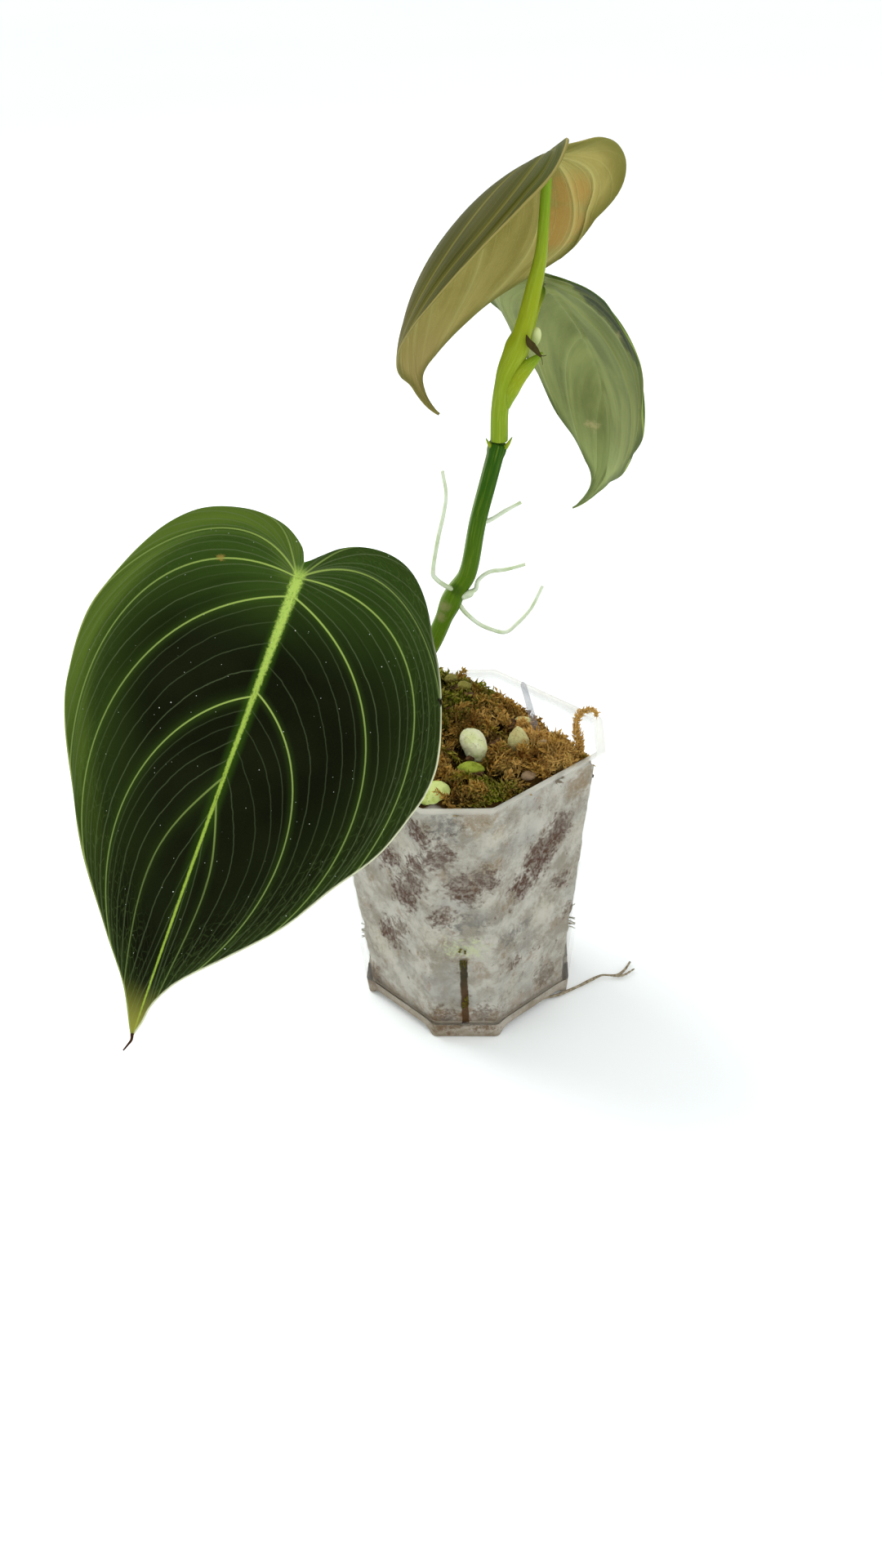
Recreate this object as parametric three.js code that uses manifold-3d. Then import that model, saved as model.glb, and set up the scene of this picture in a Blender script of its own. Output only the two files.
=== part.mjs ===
// A young climbing philodendron in a clear square pot: three velvety heart-shaped leaves on one stem, bark
// and sphagnum moss in the pot, and thin aerial roots.
// Millimetres, +Z up. The origin is the middle of the pot's underside. -Y faces the viewer, with a cut corner
// of the pot towards it.
import * as THREE from 'three';
import { mergeVertices } from 'three/addons/utils/BufferGeometryUtils.js';
import Module from 'manifold-3d';

const wasm = await Module();
wasm.setup();

// Clearance between neighbouring solids
const GAP = 0.3;

const POT = {
  height: 80,
  topHalf: 32.4,
  footHalf: 26.25,
  cornerCut: 12.3,
  wall: 1.2,
  rimBand: 3.2,
  rimExtra: 0.5,
  floorLift: 2.2,
  floorThickness: 1.2,
  archHalfSpan: 13,
  archShoulder: 3.5,
  archRound: 0.7,
  slotWidth: 3,
  slotLow: 4.2,
  slotHigh: 38,
  drainRadius: 3,
  drainReach: 14,
  bossRadius: 7,
};

// Leaf outline of each half from the notch to the tip: distance from the midrib and place along it, where the
// midrib is 1 long from the petiole to the tip. The first leaf has its own two halves.
const HALF_OUTLINE = [
  [0, -0.036], [0.02, -0.06], [0.06, -0.092], [0.11, -0.107], [0.16, -0.107], [0.21, -0.09],
  [0.25, -0.055], [0.3, 0.01], [0.335, 0.066], [0.362, 0.127], [0.383, 0.195], [0.393, 0.27],
  [0.387, 0.34], [0.362, 0.42], [0.295, 0.55], [0.22, 0.674], [0.135, 0.772], [0.07, 0.85],
  [0.036, 0.9], [0.021, 0.94], [0.011, 0.975], [0, 1],
];
const HALF_WIDTH = 0.394;
// The top leaf ends in a longer drip tip. Its far lobe is deeper and the lobe towards the viewer shallower.
const DRIP_TIP_OUTLINE = [
  [0, -0.036], [0.02, -0.07], [0.06, -0.109], [0.11, -0.123], [0.16, -0.118], [0.21, -0.097], [0.25, -0.059],
  ...HALF_OUTLINE.slice(7, 15),
  [0.215, 0.67], [0.15, 0.752], [0.095, 0.808], [0.05, 0.848], [0.026, 0.88], [0.018, 0.92], [0.01, 0.965],
  [0, 1],
];
const ROUND_LOBE_OUTLINE = [
  [0, -0.036], [0.02, -0.058], [0.06, -0.083], [0.11, -0.094], [0.16, -0.09], [0.21, -0.071], [0.25, -0.042],
  ...DRIP_TIP_OUTLINE.slice(7),
];
const FRONT_OUTLINE_A = [
  [0, -0.036], [0.016, -0.066], [0.06, -0.095], [0.115, -0.105], [0.165, -0.1], [0.219, -0.081],
  [0.26, -0.052], [0.302, -0.003], [0.339, 0.062], [0.365, 0.132], [0.384, 0.199], [0.389, 0.27],
  [0.382, 0.336], [0.365, 0.399], [0.303, 0.531], [0.221, 0.674], [0.127, 0.803], [0.054, 0.897],
  [0.011, 0.985], [0, 1],
];
const FRONT_OUTLINE_B = [
  [0, -0.036], [0.013, -0.046], [0.029, -0.062], [0.062, -0.09], [0.107, -0.108], [0.157, -0.113],
  [0.2, -0.102], [0.235, -0.076], [0.267, -0.036], [0.3, 0.021], [0.331, 0.07], [0.356, 0.121],
  [0.378, 0.182], [0.391, 0.229], [0.398, 0.269], [0.397, 0.313], [0.388, 0.359], [0.35, 0.467],
  [0.283, 0.569], [0.218, 0.674], [0.138, 0.763], [0.063, 0.842], [0.035, 0.882], [0.017, 0.923],
  [0.011, 0.96], [0, 1],
];

// Every vein is one cubic curve from the midrib to a place on the margin, from 0 at the notch to 1 at the
// tip. Its start on the midrib, its headings in degrees from the tip's direction and its handles change
// smoothly with that place.
const VEIN_PLACES = [0, 0.1, 0.4, 0.63, 0.77, 0.89, 0.965, 1];
const VEIN_START = [0, 0, 0, 0, 0.04, 0.285, 0.615, 1];
const VEIN_START_HEADING = [180, 146, 133, 99, 71, 62, 5, 8];
const VEIN_START_HANDLE = [0.34, 0.44, 0.52, 0.46, 0.42, 0.3, 0.42, 0.33];
const VEIN_END_HEADING = [180, 94, 14, -20, -33, -32, 3, -3];
const VEIN_END_HANDLE = [0.33, 0.41, 0.35, 0.5, 0.42, 0.52, 0.61, 0.33];
// Margin places of the main veins in each half
const MAIN_VEINS = [0, 0.1, 0.385, 0.62, 0.767, 0.878, 0.937, 1];

const BLADE = {
  thickness: 0.66,
  quilt: 0.45,
  midribHeight: 1.1,
  rowsBetweenVeins: [4, 8, 6, 4, 4, 2, 3],
  columns: [0, 0.06, 0.2, 0.38, 0.56, 0.74, 0.9, 1],
};

// The three leaves. Angles are in degrees: yaw, pitch and roll set the leaf at its junction with the
// petiole, droop and tipCurl bend the midrib down, sway bends it sideways and twist turns it. Each half falls
// away from the midrib by its fold, then by its arch out to the margin, with rim for the margin alone. back
// lowers the lobes behind the junction.
const LEAVES = {
  front_leaf: {
    junction: [-29.8, -61.3, 152.6],
    yaw: 150.6, pitch: -46.3, roll: -29.6,
    length: 100.7, width: 1,
    droop: 14.9, tipCurl: 5.7, sway: 0, twist: -2, back: 14.3, foldAtTip: 3.4, wave: 0.4,
    right: { outline: FRONT_OUTLINE_A, fold: 0.4, arch: 9.2, rim: 6.9 },
    left: { outline: FRONT_OUTLINE_B, fold: -3.2, arch: 9.2, rim: 6.9 },
    colour: 0x22301c,
  },
  top_leaf: {
    junction: [22, 2.9, 222.1],
    yaw: 69.3, pitch: -23.7, roll: 9,
    length: 80.7, width: 0.965,
    droop: 72, tipCurl: 39.8, sway: 21.4, twist: 15.7, back: -66, foldAtTip: -12.5, wave: 0.2,
    right: { outline: DRIP_TIP_OUTLINE, fold: 37.2, arch: 26.6, rim: -49.5 },
    left: { outline: ROUND_LOBE_OUTLINE, fold: 7.9, arch: 57.5, rim: -31 },
    colour: 0x6b6236,
  },
  back_leaf: {
    junction: [22.4, 39.5, 187.1],
    yaw: -44.1, pitch: -39.1, roll: -3.8,
    length: 94, width: 0.771,
    droop: 46, tipCurl: 66.8, sway: -19.3, twist: -32.5, back: 20, foldAtTip: 25.5, wave: 0.6,
    right: { outline: HALF_OUTLINE, fold: 16.2, arch: -23.5, rim: 43.3 },
    left: { outline: HALF_OUTLINE, fold: 15.2, arch: -21.3, rim: -21.8 },
    colour: 0x5f7044,
  },
};

// Stem and petioles, as points up their middle
const STEM = {
  lower: [
    [-12.5, 6, 74], [-12.2, 6, 86], [-11, 6, 96.5], [-6.2, 6, 105.9], [-1, 6, 117.8], [2.7, 6, 124],
    [5.4, 6, 137.1], [8.2, 6, 147.6], [10.8, 6, 157.2],
  ],
  upper: [
    [10.9, 6, 157.9], [11.2, 6, 165.7], [12.6, 6, 173.4], [15, 6, 179.1], [17.2, 6, 185.6],
    [19.3, 5.8, 193.7], [20.8, 5, 200.8], [21.5, 4, 209], [22.1, 2.8, 219.1],
  ],
  frontPetiole: [
    [-8.4, 2.2, 84], [-8.8, 2, 92], [-11, 0, 105], [-15, -9, 122], [-20, -25, 137], [-25, -43, 147],
    [-29.7, -59.4, 151.1],
  ],
  backPetiole: [[16.4, 8.2, 178], [18, 13, 182.5], [19.6, 23, 185], [20.8, 32, 185], [21.7, 38, 185.3]],
};

const ROOTS = {
  left: [
    [-0.6, 5, 119.4], [-3.1, 4, 121.2], [-5.5, 4, 123.3], [-6, 4, 125.5], [-4.5, 4, 133.8], [-2.9, 4, 140.2],
    [-2.1, 4, 145.4], [-2.8, 4, 151.2],
  ],
  upper_right: [[5.6, 6, 137.4], [8.4, 6, 137.7], [12.5, 6, 140.2], [16.1, 6, 142.2]],
  middle_right: [
    [1.6, 6, 118.2], [4.4, 6, 119.1], [5.3, 6, 121.7], [8.2, 6, 123.9], [12.4, 6, 124.5], [17.1, 6, 125.8],
  ],
  hanging: [
    [-1.6, 6, 117.4], [0, 6, 115.5], [1.8, 6, 112.7], [4.9, 6, 109.7], [8, 6, 108], [11.8, 6, 107],
    [14.7, 6, 109.1], [18.5, 6, 113.6], [21.4, 6, 119.7],
  ],
};
const ROOT_RADIUS = 0.62;

// Pumice and perlite lumps on the moss: place, half sizes and turn about Z
const LUMPS = [
  { at: [3.6, -10.6, 83], size: [5.6, 3, 3.6], turn: -62, colour: 0xdfe3c2 },
  { at: [15.2, -8.4, 82.4], size: [2.3, 2.8, 3.4], turn: 10, colour: 0xb4ae80 },
  { at: [3.1, -20, 81.6], size: [3.2, 2.2, 1.7], turn: -8, colour: 0x96a43c },
  { at: [-6.4, -29.6, 80.2], size: [4.6, 4.2, 3], turn: 35, colour: 0xd3dca0 },
  { at: [21.4, -6.6, 81.4], size: [1.6, 1.4, 1.3], turn: 0, colour: 0xb29a7c },
  { at: [17.4, -21.4, 80.2], size: [2.2, 1.6, 1.2], turn: 20, colour: 0xb29a7c },
  { at: [8.5, -27.4, 79.8], size: [2.1, 1.5, 1.3], turn: -30, colour: 0x96a43c },
  { at: [-3.2, 19, 86.6], size: [1.9, 1.6, 1.5], turn: 0, colour: 0xb4ae80 },
  { at: [0.6, 13.6, 87.2], size: [1.8, 1.9, 1.5], turn: 30, colour: 0xb29a7c },
  { at: [16.2, 8.2, 80.8], size: [2.2, 1.8, 1.3], turn: 15, colour: 0xb4ae80 },
  { at: [-22, -9, 82.4], size: [3.4, 2.6, 2.4], turn: 60, colour: 0xd8dab8 },
  { at: [-17, 19, 82.8], size: [3, 2.2, 2], turn: -20, colour: 0xcfd0b0 },
];

// The fill's top: a mound at the back left, and a slope down to the wall at the back right that starts where
// 1.2 x + 0.8 y passes dipFrom
const MOSS = {
  rimHeight: 80.4,
  mound: 7,
  moundAt: [-7, 9],
  moundSpread: 13,
  dipSlope: 0.62,
  dipFrom: 26,
  dipTurn: 1.6,
  strandReach: 31,
  strandLimit: 34,
  strandDiagonalLimit: 41,
  aroundSteps: 4,
  rings: [0.97, 0.88, 0.77, 0.65, 0.52, 0.38, 0.24, 0.12],
  strands: 26,
  seed: 20,
};

const RADIANS = Math.PI / 180;

function point([x, y, z]) {
  return new THREE.Vector3(x, y, z);
}

// A closed mesh with shared vertices from loose triangles; triangles that close up to a line are left out
function closedMesh(position, index) {
  const loose = new THREE.BufferGeometry();
  loose.setAttribute('position', new THREE.Float32BufferAttribute(position, 3));
  loose.setIndex(index);
  const merged = mergeVertices(loose, 1e-3);
  const all = Array.from(merged.index.array);
  const kept = [];
  for (let i = 0; i < all.length; i += 3) {
    const [a, b, c] = all.slice(i, i + 3);
    if (a !== b && b !== c && c !== a) {
      kept.push(a, b, c);
    }
  }
  merged.setIndex(kept);
  return merged;
}

// Skins a stack of rings, each running anticlockwise seen from the far end, and closes both ends with a fan
function skin(rings) {
  const count = rings[0].length;
  const points = rings.flat();
  const index = [];
  for (let ring = 0; ring < rings.length - 1; ring += 1) {
    for (let k = 0; k < count; k += 1) {
      const a = ring * count + k;
      const b = ring * count + ((k + 1) % count);
      index.push(a, b, b + count, a, b + count, a + count);
    }
  }
  const middle = (ring) => ring.reduce((sum, p) => sum.add(p), new THREE.Vector3()).divideScalar(count);
  const first = points.push(middle(rings[0])) - 1;
  const last = points.push(middle(rings.at(-1))) - 1;
  const top = (rings.length - 1) * count;
  for (let k = 0; k < count; k += 1) {
    const next = (k + 1) % count;
    index.push(first, next, k, last, top + k, top + next);
  }
  return closedMesh(points.flatMap((p) => p.toArray()), index);
}

// A round tube through points, with its radius given from 0 at its start to 1 at its end
function tube(points, radiusAt, steps, sides) {
  const curve = new THREE.CatmullRomCurve3(points.map(point));
  const frames = curve.computeFrenetFrames(steps, false);
  const rings = [];
  for (let i = 0; i <= steps; i += 1) {
    const centre = curve.getPointAt(i / steps);
    const radius = radiusAt(i / steps);
    rings.push(Array.from({ length: sides }, (unused, k) => {
      const angle = (2 * Math.PI * k) / sides;
      return centre.clone()
        .addScaledVector(frames.normals[i], radius * Math.cos(angle))
        .addScaledVector(frames.binormals[i], radius * Math.sin(angle));
    }));
  }
  return skin(rings);
}

function solid(geometry) {
  const plain = geometry.index ? geometry : mergeVertices(geometry);
  return new wasm.Manifold(new wasm.Mesh({
    numProp: 3,
    vertProperties: new Float32Array(plain.attributes.position.array),
    triVerts: new Uint32Array(plain.index.array),
  }));
}

// A three.js shape as a solid: only its positions are kept, so that its corners are shared
function shapeSolid(geometry, matrix) {
  const plain = geometry.clone();
  plain.deleteAttribute('normal');
  plain.deleteAttribute('uv');
  if (matrix) {
    plain.applyMatrix4(matrix);
  }
  return solid(mergeVertices(plain));
}

function biggestBody(manifold) {
  return manifold.decompose().sort((a, b) => b.volume() - a.volume())[0];
}

function geometryOf(manifold) {
  const mesh = manifold.getMesh();
  const geometry = new THREE.BufferGeometry();
  geometry.setAttribute('position', new THREE.Float32BufferAttribute(mesh.vertProperties, 3));
  geometry.setIndex(Array.from(mesh.triVerts));
  return geometry;
}

const plant = new THREE.Group();

function addNode(name, geometry, colour, roughness, extra = {}) {
  const material = new THREE.MeshStandardMaterial({ color: colour, roughness, ...extra });
  const mesh = new THREE.Mesh(geometry, material);
  mesh.name = name;
  plant.add(mesh);
}

// Random numbers from 0 to 1 that come out the same each time
function seededRandom(seed) {
  let state = seed;
  return () => {
    state = (state * 1664525 + 1013904223) % 4294967296;
    return state / 4294967296;
  };
}

// Pot: a tapered square box with cut corners

const CORNERS = [-90, 0, 90, 180];

function potHalf(z) {
  return POT.footHalf + ((POT.topHalf - POT.footHalf) * z) / POT.height;
}

function potOutline(half, z, stepsPerSide = 1) {
  const reach = (half - POT.cornerCut / 2) * Math.SQRT2;
  const halfFacet = POT.cornerCut / Math.SQRT2;
  const corners = CORNERS.flatMap((degrees) => {
    const angle = degrees * RADIANS;
    return [-halfFacet, halfFacet].map((along) => new THREE.Vector3(
      reach * Math.cos(angle) - along * Math.sin(angle),
      reach * Math.sin(angle) + along * Math.cos(angle),
      z,
    ));
  });
  return corners.flatMap((corner, k) => {
    const next = corners[(k + 1) % corners.length];
    return Array.from({ length: stepsPerSide }, (unused, i) => corner.clone().lerp(next, i / stepsPerSide));
  });
}

function placed(x, y, z, turnDegrees) {
  return new THREE.Matrix4().makeRotationZ(turnDegrees * RADIANS).setPosition(x, y, z);
}

function cylinderAlongZ(radius, low, high, x, y) {
  const upright = new THREE.CylinderGeometry(radius, radius, high - low, 25).rotateX(Math.PI / 2);
  return shapeSolid(upright, placed(x, y, (low + high) / 2, 0));
}

// The opening under one side between two feet, as a low arch pushed through the wall
function sideArch(turnDegrees) {
  const half = POT.archHalfSpan;
  const arch = new THREE.Shape();
  arch.moveTo(-half, -1);
  arch.lineTo(half, -1);
  arch.lineTo(half, 0);
  arch.quadraticCurveTo(half - POT.archRound, POT.floorLift, half - POT.archShoulder, POT.floorLift);
  arch.lineTo(POT.archShoulder - half, POT.floorLift);
  arch.quadraticCurveTo(POT.archRound - half, POT.floorLift, -half, 0);
  const depth = 6;
  const bar = new THREE.ExtrudeGeometry(arch, { depth, bevelEnabled: false, curveSegments: 5 });
  bar.rotateX(Math.PI / 2).translate(0, POT.footHalf + depth / 2, 0);
  return shapeSolid(bar, placed(0, 0, 0, turnDegrees));
}

function cornerSlot(turnDegrees) {
  const height = POT.slotHigh - POT.slotLow;
  const reach = (potHalf(0) - POT.cornerCut / 2) * Math.SQRT2;
  const depth = 12;
  const bar = new THREE.BoxGeometry(depth, POT.slotWidth, height);
  bar.translate(reach + 2, 0, POT.slotLow + height / 2);
  return shapeSolid(bar, placed(0, 0, 0, turnDegrees));
}

function makePot() {
  const bandLow = POT.height - POT.rimBand;
  const outside = solid(skin([
    potOutline(potHalf(0), 0),
    potOutline(potHalf(bandLow), bandLow),
    potOutline(potHalf(bandLow) + POT.rimExtra, bandLow + POT.rimExtra),
    potOutline(potHalf(POT.height) + POT.rimExtra, POT.height),
  ]));
  const floorTop = POT.floorLift + POT.floorThickness;
  const over = POT.height + 1;
  const inside = solid(skin([
    potOutline(potHalf(floorTop) - POT.wall, floorTop),
    potOutline(potHalf(over) - POT.wall, over),
  ]));
  const under = solid(skin([
    potOutline(potHalf(0) - POT.wall, -1),
    potOutline(potHalf(0) - POT.wall, POT.floorLift),
  ]));
  const boss = cylinderAlongZ(POT.bossRadius, -2, POT.floorLift + POT.floorThickness / 2, 0, 0);
  let pot = outside.subtract(inside).subtract(under.subtract(boss));
  for (const degrees of CORNERS) {
    pot = pot.subtract(cornerSlot(degrees)).subtract(sideArch(degrees - 45));
    const angle = (degrees + 45) * RADIANS;
    const [x, y] = [POT.drainReach * Math.cos(angle), POT.drainReach * Math.sin(angle)];
    pot = pot.subtract(cylinderAlongZ(POT.drainRadius, 1, floorTop + 1, x, y));
  }
  return biggestBody(pot);
}

// Moss and bark that fill the pot, with a lumpy mound and loose strands on top

function mossHeight(x, y) {
  const dx = x - MOSS.moundAt[0];
  const dy = y - MOSS.moundAt[1];
  const mound = MOSS.mound * Math.exp(-(dx * dx + dy * dy) / (2 * MOSS.moundSpread ** 2));
  const backward = (1.2 * x + 0.8 * y - MOSS.dipFrom) / MOSS.dipTurn;
  const dip = MOSS.dipSlope * MOSS.dipTurn * Math.log1p(Math.exp(backward));
  const lumps = 0.9 * Math.sin(0.55 * x + 1.3) * Math.cos(0.48 * y - 0.4);
  return MOSS.rimHeight + mound - dip + lumps + 0.6 * Math.sin(0.9 * x - 0.7 * y + 2);
}

function lumpGeometry(lump, index, grow) {
  const geometry = new THREE.IcosahedronGeometry(1, 1);
  const place = new THREE.Vector3();
  const position = geometry.attributes.position;
  for (let i = 0; i < position.count; i += 1) {
    place.fromBufferAttribute(position, i);
    const aside = Math.sin(3.1 * place.x + index) * Math.cos(2.7 * place.y - index);
    const bump = 1 + 0.09 * aside + 0.06 * Math.sin(4.3 * place.z);
    position.setXYZ(
      i,
      place.x * bump * (lump.size[0] + grow),
      place.y * bump * (lump.size[1] + grow),
      place.z * bump * (lump.size[2] + grow),
    );
  }
  return geometry.rotateZ(lump.turn * RADIANS).translate(...lump.at);
}

function mossStrand(random) {
  const angle = 2 * Math.PI * random();
  const reach = MOSS.strandReach * Math.sqrt(random());
  const [x, y] = [reach * Math.cos(angle), reach * Math.sin(angle)];
  const heading = 2 * Math.PI * random();
  const length = 4 + 5 * random();
  const rise = 0.6 + 1.6 * random();
  const [stepX, stepY] = [length * Math.cos(heading), length * Math.sin(heading)];
  const limit = MOSS.strandDiagonalLimit;
  const endX = x + stepX;
  const endY = y + stepY;
  if (Math.abs(endX) + Math.abs(endY) > limit || Math.abs(x) + Math.abs(y) > limit) {
    return null;
  }
  if (Math.max(Math.hypot(endX, endY), Math.hypot(x, y)) > MOSS.strandLimit) {
    return null;
  }
  const middle = [x + stepX / 2, y + stepY / 2];
  return tube([
    [x, y, mossHeight(x, y) - 1.2],
    [middle[0], middle[1], mossHeight(...middle) + rise],
    [endX, endY, mossHeight(endX, endY) - 0.4],
  ], (t) => 0.8 - 0.3 * t, 4, 4);
}

// The strand that stands up beside the right corner and bends over the rim
const RIM_STRAND = [
  [30.4, -8, 77], [30.8, -7, 82], [30.9, -5.5, 86.2], [32, -3, 88.4], [34.2, -0.6, 88.6], [36.8, 1.6, 87.2],
];

function makeMoss(holes) {
  const low = POT.floorLift + POT.floorThickness + GAP;
  const inset = POT.wall + GAP;
  const steps = MOSS.aroundSteps;
  const sideLevels = [low, 40];
  const rings = sideLevels.map((z) => potOutline(potHalf(z) - inset, z, steps));
  const rim = potOutline(potHalf(POT.height) - inset, POT.height, steps);
  const surface = [1, ...MOSS.rings].map((scale) => rim.map((p) => {
    const [x, y] = [p.x * scale, p.y * scale];
    const edge = scale === 1 ? 1.6 : 0;
    return new THREE.Vector3(x, y, mossHeight(x, y) - edge);
  }));
  let moss = solid(skin([...rings, ...surface]));
  const random = seededRandom(MOSS.seed);
  for (let i = 0; i < MOSS.strands; i += 1) {
    const strand = mossStrand(random);
    if (strand) {
      moss = moss.add(solid(strand));
    }
  }
  const clearOfRim = POT.height + GAP;
  const within = solid(skin([
    potOutline(potHalf(low) - inset, low),
    potOutline(potHalf(POT.height) - inset, clearOfRim),
  ]));
  const above = solid(skin([
    potOutline(POT.topHalf + 4, clearOfRim - 0.01),
    potOutline(POT.topHalf + 4, clearOfRim + 20),
  ]));
  moss = moss.intersect(within.add(above));
  moss = moss.add(solid(tube(RIM_STRAND, (t) => 1 - 0.35 * t, 10, 5)));
  for (const tuft of SLOT_TUFTS) {
    moss = moss.add(slotTuft(tuft));
  }
  for (const hole of holes) {
    moss = moss.subtract(hole);
  }
  return biggestBody(moss);
}

// Stem, petioles and roots

function mix(knots, t) {
  const after = knots.findIndex(([place]) => place >= t);
  if (after <= 0) {
    return knots[Math.max(after, 0)][1];
  }
  const [low, high] = [knots[after - 1], knots[after]];
  return THREE.MathUtils.mapLinear(t, low[0], high[0], low[1], high[1]);
}

// Radii along the stems, as place and radius
const LOWER_RADIUS = [
  [0, 2], [0.2, 2.3], [0.44, 2.2], [0.5, 2.7], [0.56, 2.3], [0.8, 2.1], [0.96, 2.1], [0.98, 2.3], [1, 2.2],
];
const UPPER_RADIUS = [
  [0, 2.1], [0.2, 2.1], [0.3, 2.6], [0.36, 2.9], [0.42, 2.2], [0.6, 1.8], [0.75, 1.3], [1, 1.1],
];
const FRONT_PETIOLE_RADIUS = [[0, 1.9], [0.2, 1.6], [0.9, 1.45], [0.96, 1.6], [1, 1]];
const BACK_PETIOLE_RADIUS = [[0, 1.6], [0.9, 1.3], [1, 0.9]];

function makeLowerStem() {
  let stem = solid(tube(STEM.lower, (t) => mix(LOWER_RADIUS, t), 22, 10));
  for (const route of Object.values(ROOTS)) {
    stem = stem.add(solid(tube(route, (t) => ROOT_RADIUS * (1 - 0.28 * t), 10, 4)));
  }
  return biggestBody(stem);
}

const SHEATH = {
  wing: [[12.6, 5.8, 166], [13.8, 5.6, 170], [16.4, 5.2, 174.4], [19.6, 5, 177.4], [21, 4.8, 178.6]],
  wingRadius: [[0, 1], [0.3, 2], [0.6, 1.9], [0.85, 0.9], [1, 0.3]],
};

function makeUpperStem() {
  const stem = solid(tube(STEM.upper, (t) => mix(UPPER_RADIUS, t), 22, 10));
  const wing = solid(tube(SHEATH.wing, (t) => mix(SHEATH.wingRadius, t), 6, 8));
  const petiole = solid(tube(STEM.backPetiole, (t) => mix(BACK_PETIOLE_RADIUS, t), 10, 8));
  return biggestBody(stem.add(wing).add(petiole));
}

// Leaf blades

function smoothSlopes(places, values) {
  const rise = values.slice(1).map((value, i) => (value - values[i]) / (places[i + 1] - places[i]));
  return values.map((unused, i) => {
    if (i === 0) {
      return rise[0];
    }
    if (i === values.length - 1) {
      return rise.at(-1);
    }
    const [before, after] = [rise[i - 1], rise[i]];
    return before * after <= 0 ? 0 : (2 * before * after) / (before + after);
  });
}

// A smooth curve through values at places, with no overshoot between them
function smoothThrough(places, values) {
  const slopes = smoothSlopes(places, values);
  return (t) => {
    const i = Math.min(Math.max(places.findIndex((place) => place > t) - 1, 0), places.length - 2);
    const k = t >= places.at(-1) ? places.length - 2 : i;
    const span = places[k + 1] - places[k];
    const u = (Math.min(Math.max(t, places[0]), places.at(-1)) - places[k]) / span;
    return (2 * u ** 3 - 3 * u * u + 1) * values[k] + (u ** 3 - 2 * u * u + u) * span * slopes[k]
      + (3 * u * u - 2 * u ** 3) * values[k + 1] + (u ** 3 - u * u) * span * slopes[k + 1];
  };
}

const veinStart = smoothThrough(VEIN_PLACES, VEIN_START);
const veinStartHeading = smoothThrough(VEIN_PLACES, VEIN_START_HEADING);
const veinStartHandle = smoothThrough(VEIN_PLACES, VEIN_START_HANDLE);
const veinEndHeading = smoothThrough(VEIN_PLACES, VEIN_END_HEADING);
const veinEndHandle = smoothThrough(VEIN_PLACES, VEIN_END_HANDLE);

// The margin of a half leaf as a function of the place along it
function marginOf(outline) {
  const curve = new THREE.SplineCurve(outline.map(([x, y]) => new THREE.Vector2(x, y)));
  curve.arcLengthDivisions = 600;
  return (place) => curve.getPointAt(Math.min(Math.max(place, 0), 1));
}

function heading(degrees, length) {
  return new THREE.Vector2(Math.sin(degrees * RADIANS), Math.cos(degrees * RADIANS)).multiplyScalar(length);
}

// The flat place of a point of a half leaf: on the vein that ends at a margin place, part of the way along it
function flatPlace(margin, place, along) {
  const end = margin(place);
  const start = new THREE.Vector2(0, veinStart(place));
  const chord = start.distanceTo(end);
  const leave = start.clone().add(heading(veinStartHeading(place), veinStartHandle(place) * chord));
  const arrive = end.clone().sub(heading(veinEndHeading(place), veinEndHandle(place) * chord));
  return new THREE.CubicBezierCurve(start, leave, arrive, end).getPoint(along);
}

const MIDRIB_STEPS = 60;
const CURL_FROM = 0.82;
const LOBE_REACH = 0.2;

// The bent midrib as places and turns from the junction to the tip
function bendMidrib(leaf) {
  const turn = new THREE.Quaternion();
  const stops = [{ at: point([0, 0, 0]), turn: turn.clone() }];
  for (let i = 0; i < MIDRIB_STEPS; i += 1) {
    const curl = (i + 0.5) / MIDRIB_STEPS > CURL_FROM ? leaf.tipCurl / (1 - CURL_FROM) : 0;
    const bends = [leaf.droop + curl, leaf.twist, leaf.sway];
    const [down, roll, aside] = bends.map((degrees) => (-degrees * RADIANS) / MIDRIB_STEPS);
    const before = point([0, 1, 0]).applyQuaternion(turn);
    turn.multiply(new THREE.Quaternion().setFromEuler(new THREE.Euler(down, roll, aside, 'XZY')));
    const after = point([0, 1, 0]).applyQuaternion(turn);
    const at = stops.at(-1).at.clone().addScaledVector(before.add(after), leaf.length / MIDRIB_STEPS / 2);
    stops.push({ at, turn: turn.clone() });
  }
  return stops;
}

// Place and turn of the midrib line at a distance along it; below zero it is the bend of the lobes behind
// the junction
function midribAt(leaf, stops, along) {
  if (along < 0) {
    const angle = (leaf.back * RADIANS * -along) / LOBE_REACH;
    const radius = (LOBE_REACH * leaf.length) / (leaf.back * RADIANS);
    return {
      at: new THREE.Vector3(0, -radius * Math.sin(angle), -radius * (1 - Math.cos(angle))),
      turn: new THREE.Quaternion().setFromAxisAngle(point([1, 0, 0]), angle),
    };
  }
  const steps = Math.min(along, 1) * MIDRIB_STEPS;
  const i = Math.min(Math.floor(steps), MIDRIB_STEPS - 1);
  const [low, high] = [stops[i], stops[i + 1]];
  return {
    at: low.at.clone().lerp(high.at, steps - i),
    turn: low.turn.clone().slerp(high.turn, steps - i),
  };
}

const SIMPSON = [1, 4, 2, 4, 2, 4, 2, 4, 1].map((weight) => weight / 24);

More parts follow.
